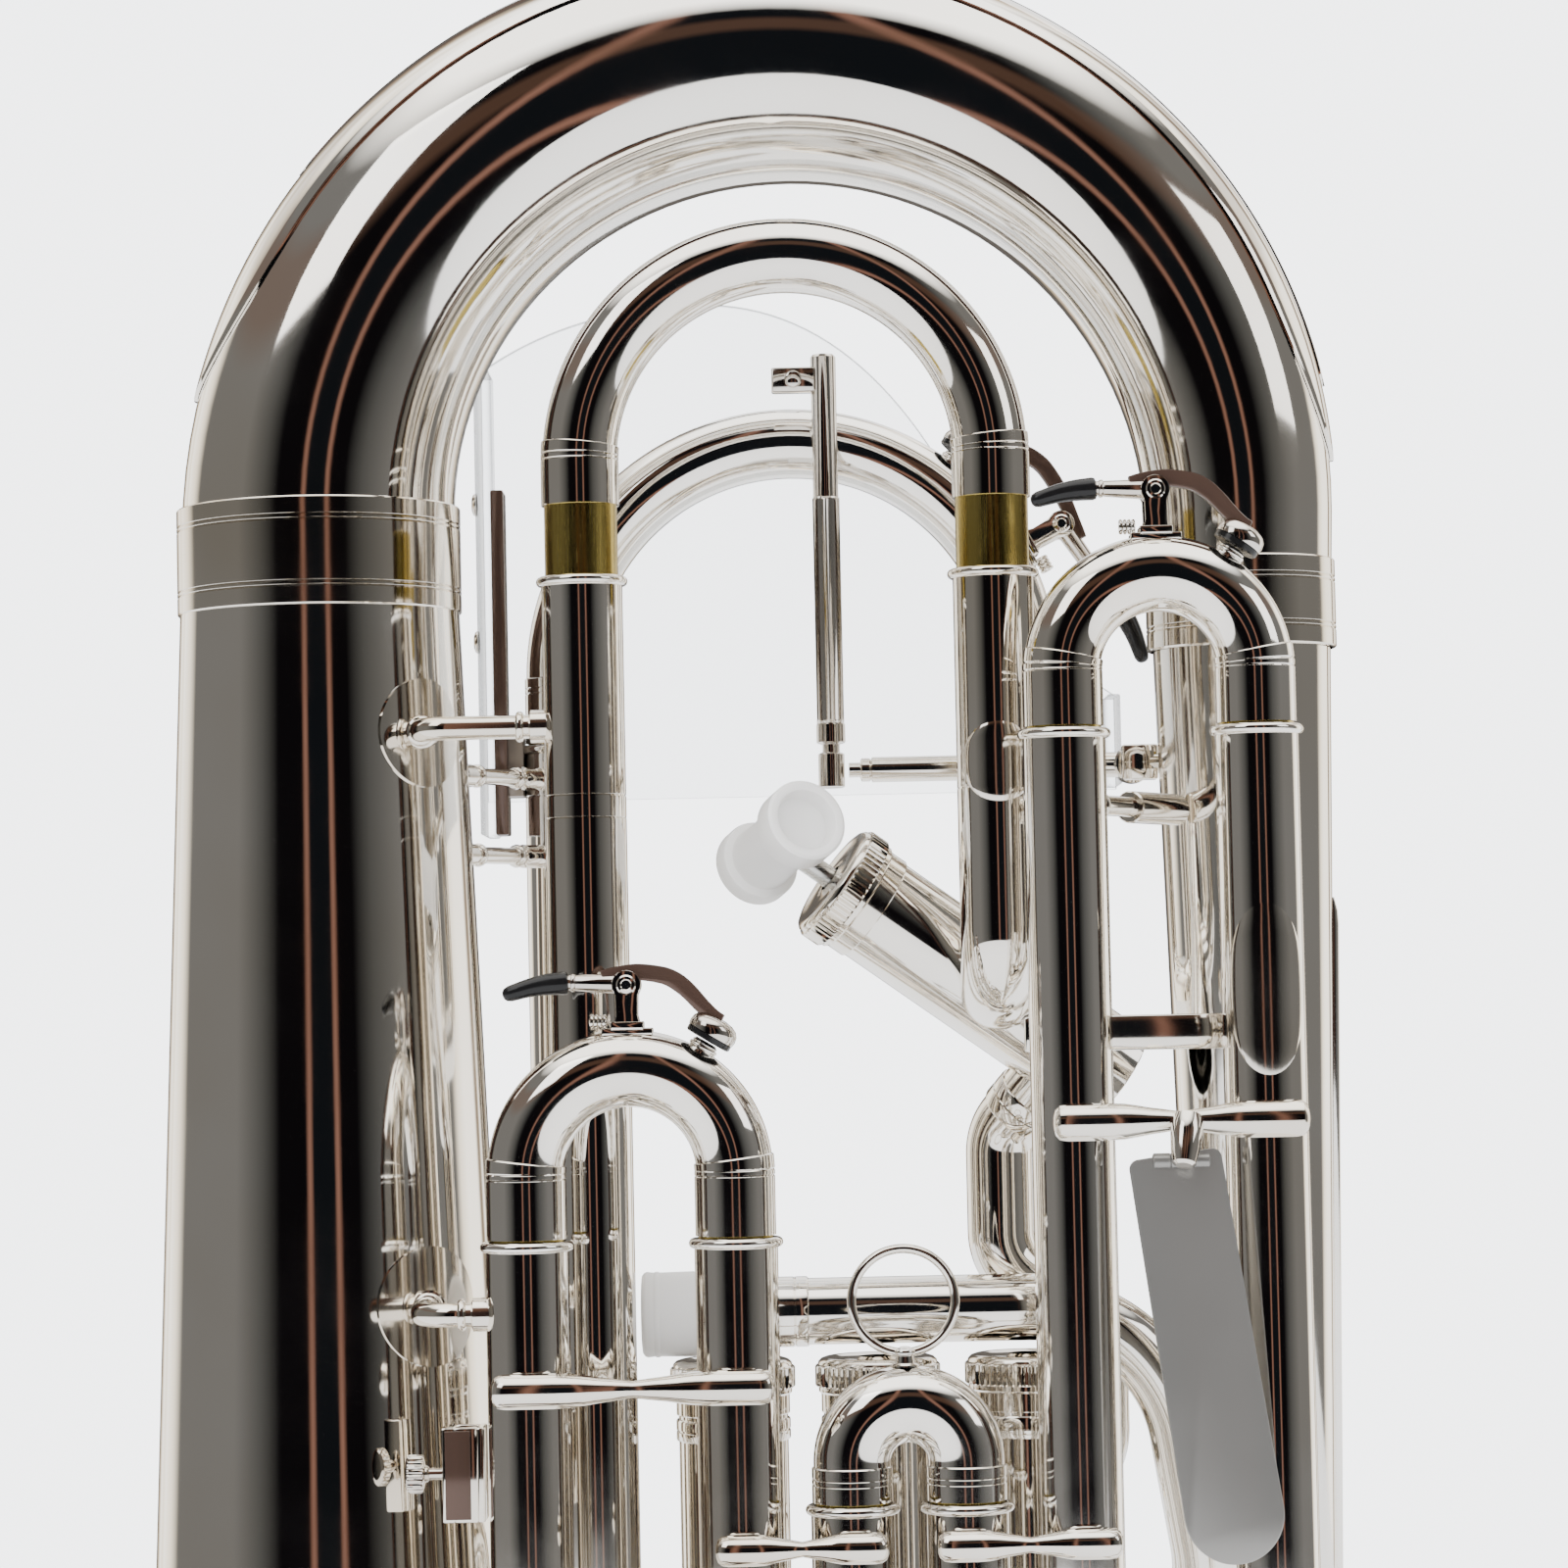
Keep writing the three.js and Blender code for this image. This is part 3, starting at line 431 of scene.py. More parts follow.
def make_acrylic():
    """Clear sheet: it lets nearly everything through, with pale edges and a faint haze."""
    mat, tree, shader = material("clear_acrylic", (0.86, 0.87, 0.88), 0.0, 0.12)
    feed(shader.inputs["Roughness"], remap(tree, noise(tree, 50, 5), 0.4, 0.8, 0.08, 0.2))
    clear = add_node(tree, "BsdfTransparent", "BSDF", {"Color": (0.985, 0.99, 0.995)})
    edge = remap(tree, add_node(tree, "Fresnel", "Fac", {"IOR": 1.3}), 0.0, 1.0, 0.06, 0.8)
    sheet = add_node(tree, "MixShader", "Shader", (edge, clear, shader.outputs["BSDF"]))
    feed(tree.nodes["Material Output"].inputs["Surface"], sheet)
    return mat


SILVER = plated("silver_plate", (0.90, 0.87, 0.82), (0.83, 0.775, 0.685), 0.035)
BRIGHT = plated("silver_plate_small", (0.85, 0.81, 0.745), (0.75, 0.685, 0.585), 0.06, 0.00003)
NICKEL = plated("nickel_plate", (0.70, 0.665, 0.62), (0.58, 0.53, 0.47), 0.07)
# nickel plate painted dark brown: a painted reflection of the dark front that the flat faces of the key arms, the
# lyre box front and the guard bar strip mirror
PAINTED_REFLECTION_NICKEL = plated("nickel_painted_reflection", (0.085, 0.052, 0.040), (0.06, 0.036, 0.028), 0.14, metallic=0.45)
# nickel plate painted dark grey-brown: painted shade and dark reflections on the guard bar's foot under the clear
# guard
PAINTED_SHADE_NICKEL = plated("nickel_painted_shade", (0.22, 0.185, 0.155), (0.16, 0.13, 0.105), 0.22, metallic=0.55)
# drawn brass, unplated: olive yellow, with fine lines along the tube
BRASS = finish("bare_brass", (0.46, 0.36, 0.11), 1.0, 0.2, (60, 4, 0.6, (40, 40, 1)), (0.3, 0.7, 0.16, 0.3),
               0.00001, tones=((30, 3), 0, 1, (0.50, 0.40, 0.13), (0.36, 0.27, 0.07)))
STEEL = finish("ground_steel", (0.6, 0.6, 0.58), 1.0, 0.28, (90, 3, 0.5, (1, 1, 30)), (0.3, 0.7, 0.2, 0.38),
               0.000008)
SATIN = finish("nickel_satin", (0.27, 0.265, 0.255), 0.70, 0.30, (40, 4), (0.3, 0.8, 0.26, 0.36), 0.00002, (60, 2))
RUBBER = finish("black_rubber", (0.006, 0.006, 0.0065), 0.0, 0.2, (160, 4), (0.3, 0.7, 0.15, 0.25), 0.00002,
                (220, 3), Specular_IOR_Level=0.3)
WHITE = finish("white_plastic", (0.90, 0.89, 0.875), 0.0, 0.38, (70, 4), (0.3, 0.7, 0.32, 0.46), 0.00002,
               (300, 2), ((25, 3), 0, 1, (0.93, 0.92, 0.905), (0.86, 0.85, 0.84)), Subsurface_Weight=0.3,
               Subsurface_Scale=0.002, Subsurface_Radius=(1.0, 0.95, 0.9), Transmission_Weight=0.12)
ACRYLIC = make_acrylic()


# ---- bell, bow and branches
def bell_radius(z):
    flare = BELL_RADIUS - BOW_RADII[0] - BELL_TAPER * BELL_TOP
    return BOW_RADII[0] + BELL_TAPER * (BELL_TOP - z) + flare * math.exp(-z / FLARE_LENGTH)


def make_bell():
    rise = [4.4 + 2.0 * i ** 1.35 for i in range(40)]
    rise = [z for z in rise if z < 240] + [300, 400, BELL_TOP]
    outer = [(z, bell_radius(z)) for z in rise]
    inner = []
    for z in rise:
        slope = (bell_radius(z + 1) - bell_radius(z - 1)) / 2
        wall = BELL_WALL / math.hypot(1, slope)
        inner.append((min(z + slope * wall, BELL_TOP), bell_radius(z) - wall))
    rim = [(0.0, BELL_RADIUS - 3.6), (0.0, BELL_RADIUS - 1.6), (0.5, BELL_RADIUS - 0.5), (1.4, BELL_RADIUS),
           (2.5, BELL_RADIUS - 0.2), (3.4, BELL_RADIUS - 1.2), (3.8, BELL_RADIUS - 3.2)]
    inside = [(0.0, BELL_RADIUS - 4.6), (0.6, BELL_RADIUS - 5.6), (1.5, BELL_RADIUS - 7.0)]
    stand_in("bell", turned(-BRANCH_X, 0, rim + outer, inside + inner, BIG_ROUND + 32), SILVER)


def bow_radius(s):
    if s < bow_stops[1]:
        return BOW_RADII[0] + (BOW_RADII[1] - BOW_RADII[0]) * s / bow_stops[1]
    part = (s - bow_stops[1]) / (bow_stops[2] - bow_stops[1])
    return BOW_RADII[1] + (BOW_RADII[2] - BOW_RADII[1]) * part


BOW_LIP = 0.3
bow_route = Route([(-BRANCH_X, 0, BELL_TOP + BOW_LIP), (-BRANCH_X, 0, BOW_Z + BRANCH_X),
                   (BRANCH_X, 0, BOW_Z + BRANCH_X), (BRANCH_X, 0, SMALL_TOP + BOW_LIP)], BRANCH_X)
bow_stops = (0.0, BOW_Z - BELL_TOP - BOW_LIP + BRANCH_X * math.pi / 2, bow_route.length)
GUARD_SPAN = (30.0, bow_route.length - 30.0)
GUARD_TURN = 0.75


def make_bow():
    keys = list(zip(bow_stops, BOW_RADII))
    stand_in("bottom_bow", tube(bow_route, keys, [(s, r - BRANCH_WALL) for s, r in keys], BIG_ROUND), SILVER)


def make_bow_guard():
    """The wear plate: a thin skin over the outside of the bow, with a rounded tongue at each end."""
    start, end = GUARD_SPAN
    tongue_length = 34.0
    near = [tongue_length * (1 - math.cos(a)) for a in np.linspace(0.03, math.pi / 2, 14)]
    middle = np.linspace(start + tongue_length, end - tongue_length, 64)[1:-1]
    stops = [start + d for d in near] + list(middle) + [end - d for d in near[::-1]]

    def place(s, part, lifts):
        d = min(s - start, end - s, tongue_length)
        width = GUARD_TURN * math.sqrt(max(0.0, 1 - (1 - d / tongue_length) ** 2)) + 0.02
        point, side, across = bow_route.frame(s)
        turn = width * part
        r = bow_radius(s) + lifts[abs(part) > 0.985]
        return point - across * r * math.cos(turn) + side * r * math.sin(turn)

    stand_in("bow_guard", shell(stops, np.linspace(-1, 1, 33), place, ((0.95, 0.55), (0.1, 0.1))), SILVER)


def make_rib():
    """The narrow round-ended rib along the outermost line of the bow."""
    start, end = 74.0, bow_route.length - 44.0

    def place(s, part, lift):
        point, side, across = bow_route.frame(s)
        room = min(s - start, end - s, 3.0) / 3.0
        half = 1.5 * math.sqrt(max(0.0, 1 - (1 - room) ** 2)) + 0.05
        return point - across * (bow_radius(s) + lift - 0.35 * (part * part)) + side * half * part

    rib = shell(np.linspace(start, end, 150), (-1, -0.5, 0, 0.5, 1), place, (1.75, 0.8))
    detail("bow_rib", "bow_guard", rib, SILVER)


def make_ferrules():
    for node, x, z0, z1, r in (("bell_ferrule", -BRANCH_X, 512, 536, BOW_RADII[0] + 0.15),
                               ("branch_ferrule", BRANCH_X, 500, 520, BOW_RADII[2] + 0.1)):
        keys = sleeve(z0, z1, r, 0.85, (z0 + 4.2, z0 + 5.2, z1 - 5.2, z1 - 4.2))
        stand_in(node, turned(x, 0, keys, r - 0.05), BRIGHT)


def make_branches():
    route = Route([(BRANCH_X, 0, SMALL_TOP), (BRANCH_X, 0, 494), SMALL_END], 60)
    keys = [(0, BOW_RADII[2] - 0.2), (route.length, SMALL_END_R)]
    stand_in("small_branch", tube(route, keys, [(s, r - BRANCH_WALL) for s, r in keys], 80), SILVER)
    strip = straight(*(route.frame(s)[0] + vec(np.interp(s, *np.transpose(keys)) + 0.25, 0, 0)
                       for s in (66.0, 292.0)))
    rounded = [(0, 0.3), (3, 1.1), (6, 1.35), (strip.length - 2, 1.35), (strip.length, 0.4)]
    detail("small_branch_strip", "small_branch", tube(strip, rounded, None, 24), SILVER)
    route = Route([SMALL_END, (SMALL_END[0] + 1, 32, 110), (MAIN.left, MAIN_Y, 110),
                   (MAIN.left, MAIN_Y, MAIN_BOTTOM)], 78)
    length = route.length
    taper = SMALL_END_R - TUBE_R
    keys = (sleeve(0, 16, SMALL_END_R + 0.1, 0.6, (3, 12.5))
            + [(16.5, SMALL_END_R - taper * 16 / length), (length - 16, TUBE_R + taper * 16 / length)]
            + sleeve(length - 15, length, TUBE_R + 0.15, 0.55, (length - 12, length - 3)))
    stand_in("top_bow", tube(route, keys, 7.6, 64), SILVER)


make_bell()
make_bow()
make_bow_guard()
make_rib()
make_ferrules()
make_branches()


# ---- valves
def knurled(start, end, deep):
    """Straight knurling between two distances, in steps of four facets."""
    def ripple(s, turns):
        if not start <= s <= end:
            return 0 * turns
        return np.where(np.arange(len(turns)) % 4 < 2, 0.0, -deep)
    return ripple


CAP_KEYS = [(0.5, 4.6), (0.4, 9.8), (0.1, 10.5), (0.0, 11.5), (0.3, 12.4), (0.9, 13.0), (1.5, 13.15),
            (1.7, 13.5), (2.0, 13.75), (6.0, 13.75), (6.3, 13.5), (6.4, 13.0), (7.4, 13.0), (7.7, 12.7),
            (7.9, 12.45), (11.8, 12.45), (12.0, 12.3)]


def make_cap(node, start, end, hole):
    bore = [(0, hole), (3.4, hole), (3.5, CASING_R + 0.15), (12, CASING_R + 0.15)]
    stand_in(node, spindle(start, end, CAP_KEYS, 224, bore, knurled(1.9, 6.1, 0.8)), BRIGHT)


def make_casing(node, route, extra=(), collars=True):
    keys = [(0, 11.6), (0.3, CASING_R)]
    if collars:
        keys += [(8.4, CASING_R)] + sleeve(8.6, 13.5, CASING_R, 0.55, (11.2,))
    stand_in(node, [tube(route, both_ends(keys, route.length), 10.2, 72), *extra], SILVER)


def make_piston(node, route, button, stem):
    keys = button + [(stem - 0.6, button[-1][1]), (stem, 8.9), (stem + 0.4, 9.5), (stem + 1.2, 9.9),
                     (route.length, 9.9)]
    bore = [(0, 0.01), (stem + 3, 0.01), (stem + 3.2, 8.7), (route.length, 8.7)]
    stand_in(node, tube(route, keys, bore, 72), STEEL)


BUTTON = [(0.7, 0.01), (0.65, 4.4), (0.35, 6.0), (0.0, 6.8), (0.1, 7.7), (0.6, 8.35), (1.5, 8.6), (3.0, 8.6),
          (3.7, 8.2), (4.1, 7.0), (4.3, 4.2), (4.8, 3.0), (5.4, 2.6)]
SMALL_BUTTON = [(0.4, 0.01), (0.3, 2.4), (0.0, 3.2), (0.3, 3.9), (0.9, 4.2), (2.6, 4.2), (3.1, 3.9), (3.4, 2.4)]


def along_fourth(t):
    return FOURTH_CAP + FOURTH_AXIS * t


def make_valves():
    for i, x in enumerate(VALVE_XS, start=1):
        loop = Route([(x, -4, 305), (x, 14, 305), (x, 14, 275), (x, -4, 275)], 12)
        knuckle = tube(loop, both_ends(sleeve(0, 3.4, 5.6, 0.9), loop.length), None, 40)
        make_casing(f"valve_casing_{i}", upright(x, VALVE_Y, CASING_BOTTOM, CASING_TOP), [knuckle])
        make_cap(f"valve_bottom_cap_{i}", (x, VALVE_Y, CASING_TOP + 4.2), (x, VALVE_Y, CASING_TOP - 7.8), 4)
        make_cap(f"valve_top_cap_{i}", (x, VALVE_Y, CASING_BOTTOM - 4.2), (x, VALVE_Y, CASING_BOTTOM + 7.8), 3.2)
        make_piston(f"piston_{i}", upright(x, VALVE_Y, 130, 318), BUTTON, 62)
    make_casing("valve_casing_4", straight(along_fourth(3.8), along_fourth(FOURTH_LENGTH)), collars=False)
    make_cap("valve_top_cap_4", along_fourth(-0.4), along_fourth(11.6), 3.2)
    make_piston("piston_4", straight(along_fourth(-16.6), along_fourth(49.4)), SMALL_BUTTON, 24.2)


def make_valve_guard():
    """The spool on the fourth stem: closed at the front, open behind, and slit for the stem."""
    axis = unit((0.409, -0.858, 0.314))
    middle = along_fourth(-14)
    keys = [(3.9, 0.02), (3.9, 6.2), (3.4, 6.5), (0.3, 6.9), (0.0, 7.5), (0.05, 8.5), (0.5, 9.1), (6.6, 9.1),
            (7.2, 8.8), (7.5, 8.0), (8.0, 7.3), (9.0, 7.05), (23.6, 7.05), (24.6, 7.3), (25.1, 8.0), (25.4, 8.8),
            (26.0, 9.1), (29.5, 9.1), (29.9, 8.7), (30.0, 8.0)]
    bore = [(5.1, 0.02), (5.1, 6.1), (30, 6.1)]
    spool = stand_in("valve_guard", spindle(middle + axis * 15, middle - axis * 15, keys, 96, bore), WHITE)
    drill(spool, spindle(along_fourth(-13), along_fourth(0), [(0, 2.9), (13, 2.9)], 32))


def drill(obj, shape):
    """Takes a closed shape out of a piece."""
    tool = new_object("drill", shape)
    cutter = obj.modifiers.new("drill", "BOOLEAN")
    cutter.operation = "DIFFERENCE"
    cutter.object = tool
    bpy.context.view_layer.update()
    result = bpy.data.meshes.new_from_object(obj.evaluated_get(bpy.context.evaluated_depsgraph_get()))
    obj.modifiers.clear()
    obj.data = result
    bpy.data.objects.remove(tool)


make_valves()
make_valve_guard()


# ---- slides
def open_into(obj, *valves):
    """Ends a tube inside the walls of the valve casings that it enters."""
    for valve in valves:
        axis = straight(along_fourth(3), along_fourth(FOURTH_LENGTH + 2))
        if valve < 4:
            axis = upright(VALVE_XS[valve - 1], VALVE_Y, CASING_BOTTOM, CASING_TOP)
        drill(obj, tube(axis, [(0, CASING_R - 1.1), (axis.length, CASING_R - 1.1)], None, 96))


def make_outer_tube(node, route, lines=(), lower=True):
    """An outer slide tube: a ring round its top, turned lines, and a sleeve near its lower end."""
    keys = [(0, BORE_R + 0.1)] + bead(1.15, TUBE_R, 1.15, 1.1, 10) + [(2.4, TUBE_R)]
    for s in lines:
        keys += groove(s, TUBE_R, 0.22, 0.22)
    if lower:
        keys += sleeve(route.length - 18, route.length - 13, TUBE_R, 0.5, (route.length - 15.5,))
    keys.append((route.length, TUBE_R))
    return stand_in(node, tube(route, keys, BORE_R), SILVER)


def bent_tube(x, y, top, bottom, target, bend=13):
    return Route([(x, y, top), (x, y, bottom), (target[0], target[1], bottom)], bend)


def make_outer_tubes():
    rows = [("first", FIRST, (200, 226), 0), ("second", SECOND, (232, 204), 1), ("third", THIRD, (232, 204), 2)]
    for name, size, bottoms, valve in rows:
        for hand, x, bottom in (("left", size.left, bottoms[0]),
                                ("right", size.right, bottoms[1])):
            to_valve = (VALVE_XS[valve], VALVE_Y + 3)
            obj = make_outer_tube(f"{name}_slide_tube_{hand}", bent_tube(x, FRONT_Y, size.bead, bottom, to_valve))
            open_into(obj, valve + 1)
    lines = (FOURTH.bead - 468.7, FOURTH.bead - 463.8)
    route = bent_tube(FOURTH.left, FOURTH_Y, FOURTH.bead, 252, (VALVE_XS[0], VALVE_Y + 3))
    open_into(make_outer_tube("fourth_slide_tube_left", route, lines), 1)
    route = bent_tube(FOURTH.right, FOURTH_Y, FOURTH.bead, 425, (46.3, -12))
    open_into(make_outer_tube("fourth_slide_tube_right", route, (lines[0],), lower=False), 4)
    make_outer_tube("main_slide_tube_left", upright(MAIN.left, MAIN_Y, MAIN.bead, MAIN_BOTTOM), (12,), lower=False)
    knuckle = Route([(MAIN.right, MAIN_Y, MAIN.bead), (MAIN.right, MAIN_Y, 422), (MAIN.right - 2, -6, 419)], 12)
    open_into(make_outer_tube("main_slide_tube_right", knuckle, (12,), lower=False), 4)


def slide_route(size):
    top = size.z + size.bend
    return Route([(size.left, size.y, size.end), (size.left, size.y, top), (size.right, size.y, top),
                  (size.right, size.y, size.end)], size.bend)


def make_slide(node, size, extra=()):
    """Crook, and a sleeve on each leg from foot to rim, with two turned lines near its upper edge."""
    route = slide_route(size)
    rim = size.z + size.rim - size.end
    foot = size.foot - size.end
    r = FERRULE_R - 0.25
    keys = [(foot, LEG_R), (foot + 0.1, r)] + groove(rim - 3.5, r, 0.2, 0.22) + groove(rim - 2.3, r, 0.2, 0.22)
    keys += [(rim - 0.1, r), (rim, r - 0.1), (rim + 0.15, CROOK_R)]
    crook = tube(route, both_ends(keys, route.length), both_ends([(foot, LEG_BORE)], route.length), 72)
    stand_in(node, [crook, *extra], SILVER)
    keys = [(0, LEG_R - 0.2), (0.3, LEG_R), (foot - 0.6, LEG_R), (foot + 0.3, LEG_R)]
    legs = [tube(upright(x, size.y, size.end, size.end + foot + 0.3), keys, LEG_BORE)
            for x in (size.left, size.right)]
    detail(node + "_legs", node, legs, BRASS, "bare_brass")


def plate(outline, half, bevel=0.3):
    """A flat plate: an anticlockwise outline in local x and y, thickened along z, with rounded edges."""
    outline = np.asarray(outline, float)
    before, after = np.roll(outline, 1, 0), np.roll(outline, -1, 0)
    into, out = outline - before, after - outline
    into /= np.linalg.norm(into, axis=1)[:, None]
    out /= np.linalg.norm(out, axis=1)[:, None]
    normal = np.stack([into[:, 1] + out[:, 1], -into[:, 0] - out[:, 0]], 1)
    normal /= np.maximum(np.linalg.norm(normal, axis=1), 0.3)[:, None]
    layers = []
    for z, inset in ((-half, 1.0), (-half + 0.3 * bevel, 0.3), (-half + bevel, 0.0),
                     (half - bevel, 0.0), (half - 0.3 * bevel, 0.3), (half, 1.0)):
        shrunk = outline - normal * inset * bevel
        layers.append(np.column_stack([shrunk, np.full(len(outline), z)]))
    return loft(layers)


def placed(shape, axes, origin):
    """A local shape set on three world axes at an origin."""
    points, faces = shape
    return points @ np.asarray(axes, float) + np.asarray(origin, float), faces


def arc(x, y, r, start, end, count=16):
    """Points on a circle, angles in degrees."""
    return [(x + r * math.cos(math.radians(a)), y + r * math.sin(math.radians(a)))
            for a in np.linspace(start, end, count)]


def torus(centre, axis, radius, wire, turns=72, sides=16):
    axis = unit(axis)
    side = unit(np.cross(axis, (0.3, 0.5, 0.8)))
    across = np.cross(axis, side)
    rings = []
    for angle in np.arange(turns) * 2 * math.pi / turns:
        out = side * math.cos(angle) + across * math.sin(angle)
        rings.append([centre + out * (radius + wire * math.cos(a)) + axis * wire * math.sin(a)
                      for a in np.arange(sides) * 2 * math.pi / sides])
    points, faces = loft(rings, closed=True)
    return points, [face[::-1] for face in faces]


def ribbon(line, half_thick, half_wide, bevel=0.25):
    """A flat strip that follows a line in local x and y, wide along z."""
    line = np.asarray(line, float)
    slope = np.gradient(line, axis=0)
    normal = np.column_stack([-slope[:, 1], slope[:, 0]]) / np.linalg.norm(slope, axis=1)[:, None]
    normal *= np.broadcast_to(half_thick, len(line))[:, None]
    outline = np.vstack([line - normal, (line + normal)[::-1]])
    return plate(outline, half_wide, bevel)


# ---- water keys
KEY_RISE = 9.5
SHORT_KEY = SimpleNamespace(reach=18.0, arm=[(-6, 2.1), (-1, 2.8), (5, 2.6), (11, 1.0)], lift=0.0, tip=26.2)
LONG_KEY = SimpleNamespace(reach=27.0, arm=[(-6, 3.0), (0, 3.2), (9, 4.0), (18, 2.6)], lift=2.4, tip=37.5)
KEY_SITES = {"first": (FIRST, 0.0, False, SHORT_KEY), "third": (THIRD, 0.0, False, SHORT_KEY),
             "main": (MAIN, math.radians(62), True, LONG_KEY)}


def on_crook(shape, size, angle, mirrored):
    """From the key's own frame (x along the crook, y away from it) to its place on a slide."""
    points, faces = shape
    x, y, z = points.T
    if mirrored:
        x, z = -x, -z
    x, y, z = x, -z, y + size.bend + CROOK_R + KEY_RISE
    x, z = rotated(x, z, -angle)
    return np.column_stack([x + size.x, y + size.y, z + size.z]), faces


def key_polar(size, key):
    skin = size.bend + CROOK_R
    turn = math.asin(key.reach / (skin + 4.5))
    return skin, lambda r: vec(math.sin(turn) * r, math.cos(turn) * r - skin - KEY_RISE, 0)


def key_mount(size, key):
    """Post with two rounded cheeks and a saddle, and the drain nipple with its rings."""
    skin, polar = key_polar(size, key)
    cheek = [(-3.1, -9.6), (3.1, -9.6), (2.3, -6.4), (2.4, -2.2)] + arc(0, 0, 3.1, -25, 205, 22)
    cheek += [(-2.4, -2.2), (-2.3, -6.4)]
    parts = [placed(plate(cheek, 0.5, 0.25), np.eye(3), (0, 0, side)) for side in (-3.25, 3.25)]
    head = [(0, 2.1), (0.55, 2.1), (0.85, 1.8), (0.95, 1.2), (0.6, 1.0), (0.6, 0.02)]
    parts += [spindle((0, 0, 3.5 * side), (0, 0, 4.5 * side), head, 32) for side in (-1, 1)]
    parts += [spindle((0, 0, -3.6), (0, 0, 3.6), [(0, 1.0), (7.2, 1.0)], 24),
              rounded_box((0, -8.6, 0), (3.5, 0.9, 3.9), 0.3), rounded_box((0, -9.9, 0), (5.4, 0.8, 3.4), 0.3)]
    nipple = ([(0, 3.6), (0.5, 3.5), (0.9, 2.9)] + bead(1.35, 2.9, 0.3, 0.4) + [(1.8, 2.7)]
              + bead(2.1, 2.6, 0.25, 0.25) + [(2.7, 2.35), (2.75, 1.2), (1.5, 1.1), (1.5, 0.02)])
    parts.append(spindle(polar(skin - 0.9), polar(skin + 2), nipple))
    return parts + [torus((x, -7.7, 1.2), (1, 0, 0.12), 1.25, 0.4, 24, 8) for x in (-7.4, -6.5, -5.6, -4.7)]


def make_key(name):
    size, angle, mirrored, key = KEY_SITES[name]
    skin, polar = key_polar(size, key)

    def on(shape):
        return on_crook(shape, size, angle, mirrored)

    node = "water_key_" + name
    lift, grip = key.lift, key.tip - 13.5
    cup_top = polar(skin + 6.9)
    knuckle = spindle((0, 0, -2.4), (0, 0, 2.4), [(0, 2.4), (0.3, 2.8), (4.5, 2.8), (4.8, 2.4)], 40, 1.15)
    rod = straight((-grip - 0.5, 0.75 + 0.8 * lift, 0), (-1.6, 0.3, 0))
    keys = [(0, 1.5), (1.2, 1.6)] + bead(1.9, 1.6, 0.35, 0.5) + [(2.6, 1.7), (rod.length, 2.2)]
    finger = tube(rod, keys, None, 32)
    knots = np.array(key.arm + [(cup_top[0] - 2.0, cup_top[1] + 1.5), (cup_top[0] + 1.2, cup_top[1] - 0.2)])
    along = np.linspace(0, len(knots) - 1, 41)
    line = np.column_stack([np.interp(along, range(len(knots)), column) for column in knots.T])
    padded = np.pad(line, ((4, 4), (0, 0)), mode="edge")
    line = np.column_stack([np.convolve(column, np.ones(9) / 9, "valid") for column in padded.T])
    deep = np.interp(np.linspace(0, 1, 41), (0, 0.3, 0.6, 1), (0.9, 1.75, 1.9, 1.3))
    arm = ribbon(line, deep, 1.5, 0.4)
    cup = [(0, 4.8), (0.2, 5.2), (1.2, 5.35), (2.4, 5.1), (3.3, 4.4), (3.9, 3.2), (4.2, 1.6), (4.25, 0.02)]
    cup_shape = spindle(polar(skin + 3.3), polar(skin + 7.55), cup, 56)
    stand_in(node, [on(knuckle), on(finger), on(cup_shape)], NICKEL)
    # the arm's nickel plate is painted dark brown, a painted reflection of the dark front
    detail(node + "_arm", node, on(arm), PAINTED_REFLECTION_NICKEL, "nickel_plate")
    pad = [(0, 0.02), (0.15, 0.8), (0.6, 1.35), (1.6, 1.7), (6, 2.0), (10, 2.3), (13.2, 2.45), (13.8, 2.25),
           (14.1, 1.5)]
    tip = Route([(-key.tip, lift - 1.2 + 0.25 * (lift - 2.4), 0), (-grip - 6.3, 0.3 + 0.95 * lift, 0),
                 (-grip + 0.5, 0.75 + 0.8 * lift, 0)], 30)
    stretch = tip.length / pad[-1][0]
    tip_shape = tube(tip, [(s * stretch, r) for s, r in pad], None, 40)
    detail(node + "_tip", node, on(tip_shape), RUBBER, "black_rubber")
    cork = spindle(polar(skin + 2.1), polar(skin + 3.35), [(0, 4.7), (0.25, 5.05), (1.25, 5.1)], 48)
    detail(node + "_cork", node, on(cork), RUBBER, "black_rubber")


def make_slides():
    for name, size in (("first", FIRST), ("third", THIRD), ("main", MAIN)):
        angle, mirrored, key = KEY_SITES[name][1:]
        mount = [on_crook(part, size, angle, mirrored) for part in key_mount(size, key)]
        make_slide(name + "_slide", size, mount)
        make_key(name)
    make_slide("fourth_slide", FOURTH)
    nib = [(0, 3.2), (0.4, 3.2), (0.8, 2.2), (2.2, 1.9)] + bead(3.0, 1.9, 0.5, 0.7) + [(3.8, 1.6), (4.2, 0.9)]
    top = vec(SECOND.x - 0.4, SECOND.y, SECOND.z + SECOND.bend + 7.7)
    make_slide("second_slide", SECOND, [spindle(top, top + vec(0, 0, 4.2), nib)])
    stand_in("pull_ring", torus((22.8, FRONT_Y, 360.1), (0, 1, 0), 10.9, 1.0, 96, 20), BRIGHT)


make_outer_tubes()
make_slides()


# ---- leadpipe, crossover and receiver
LEAD_Y = -15.5
LEAD_Z = 355.3


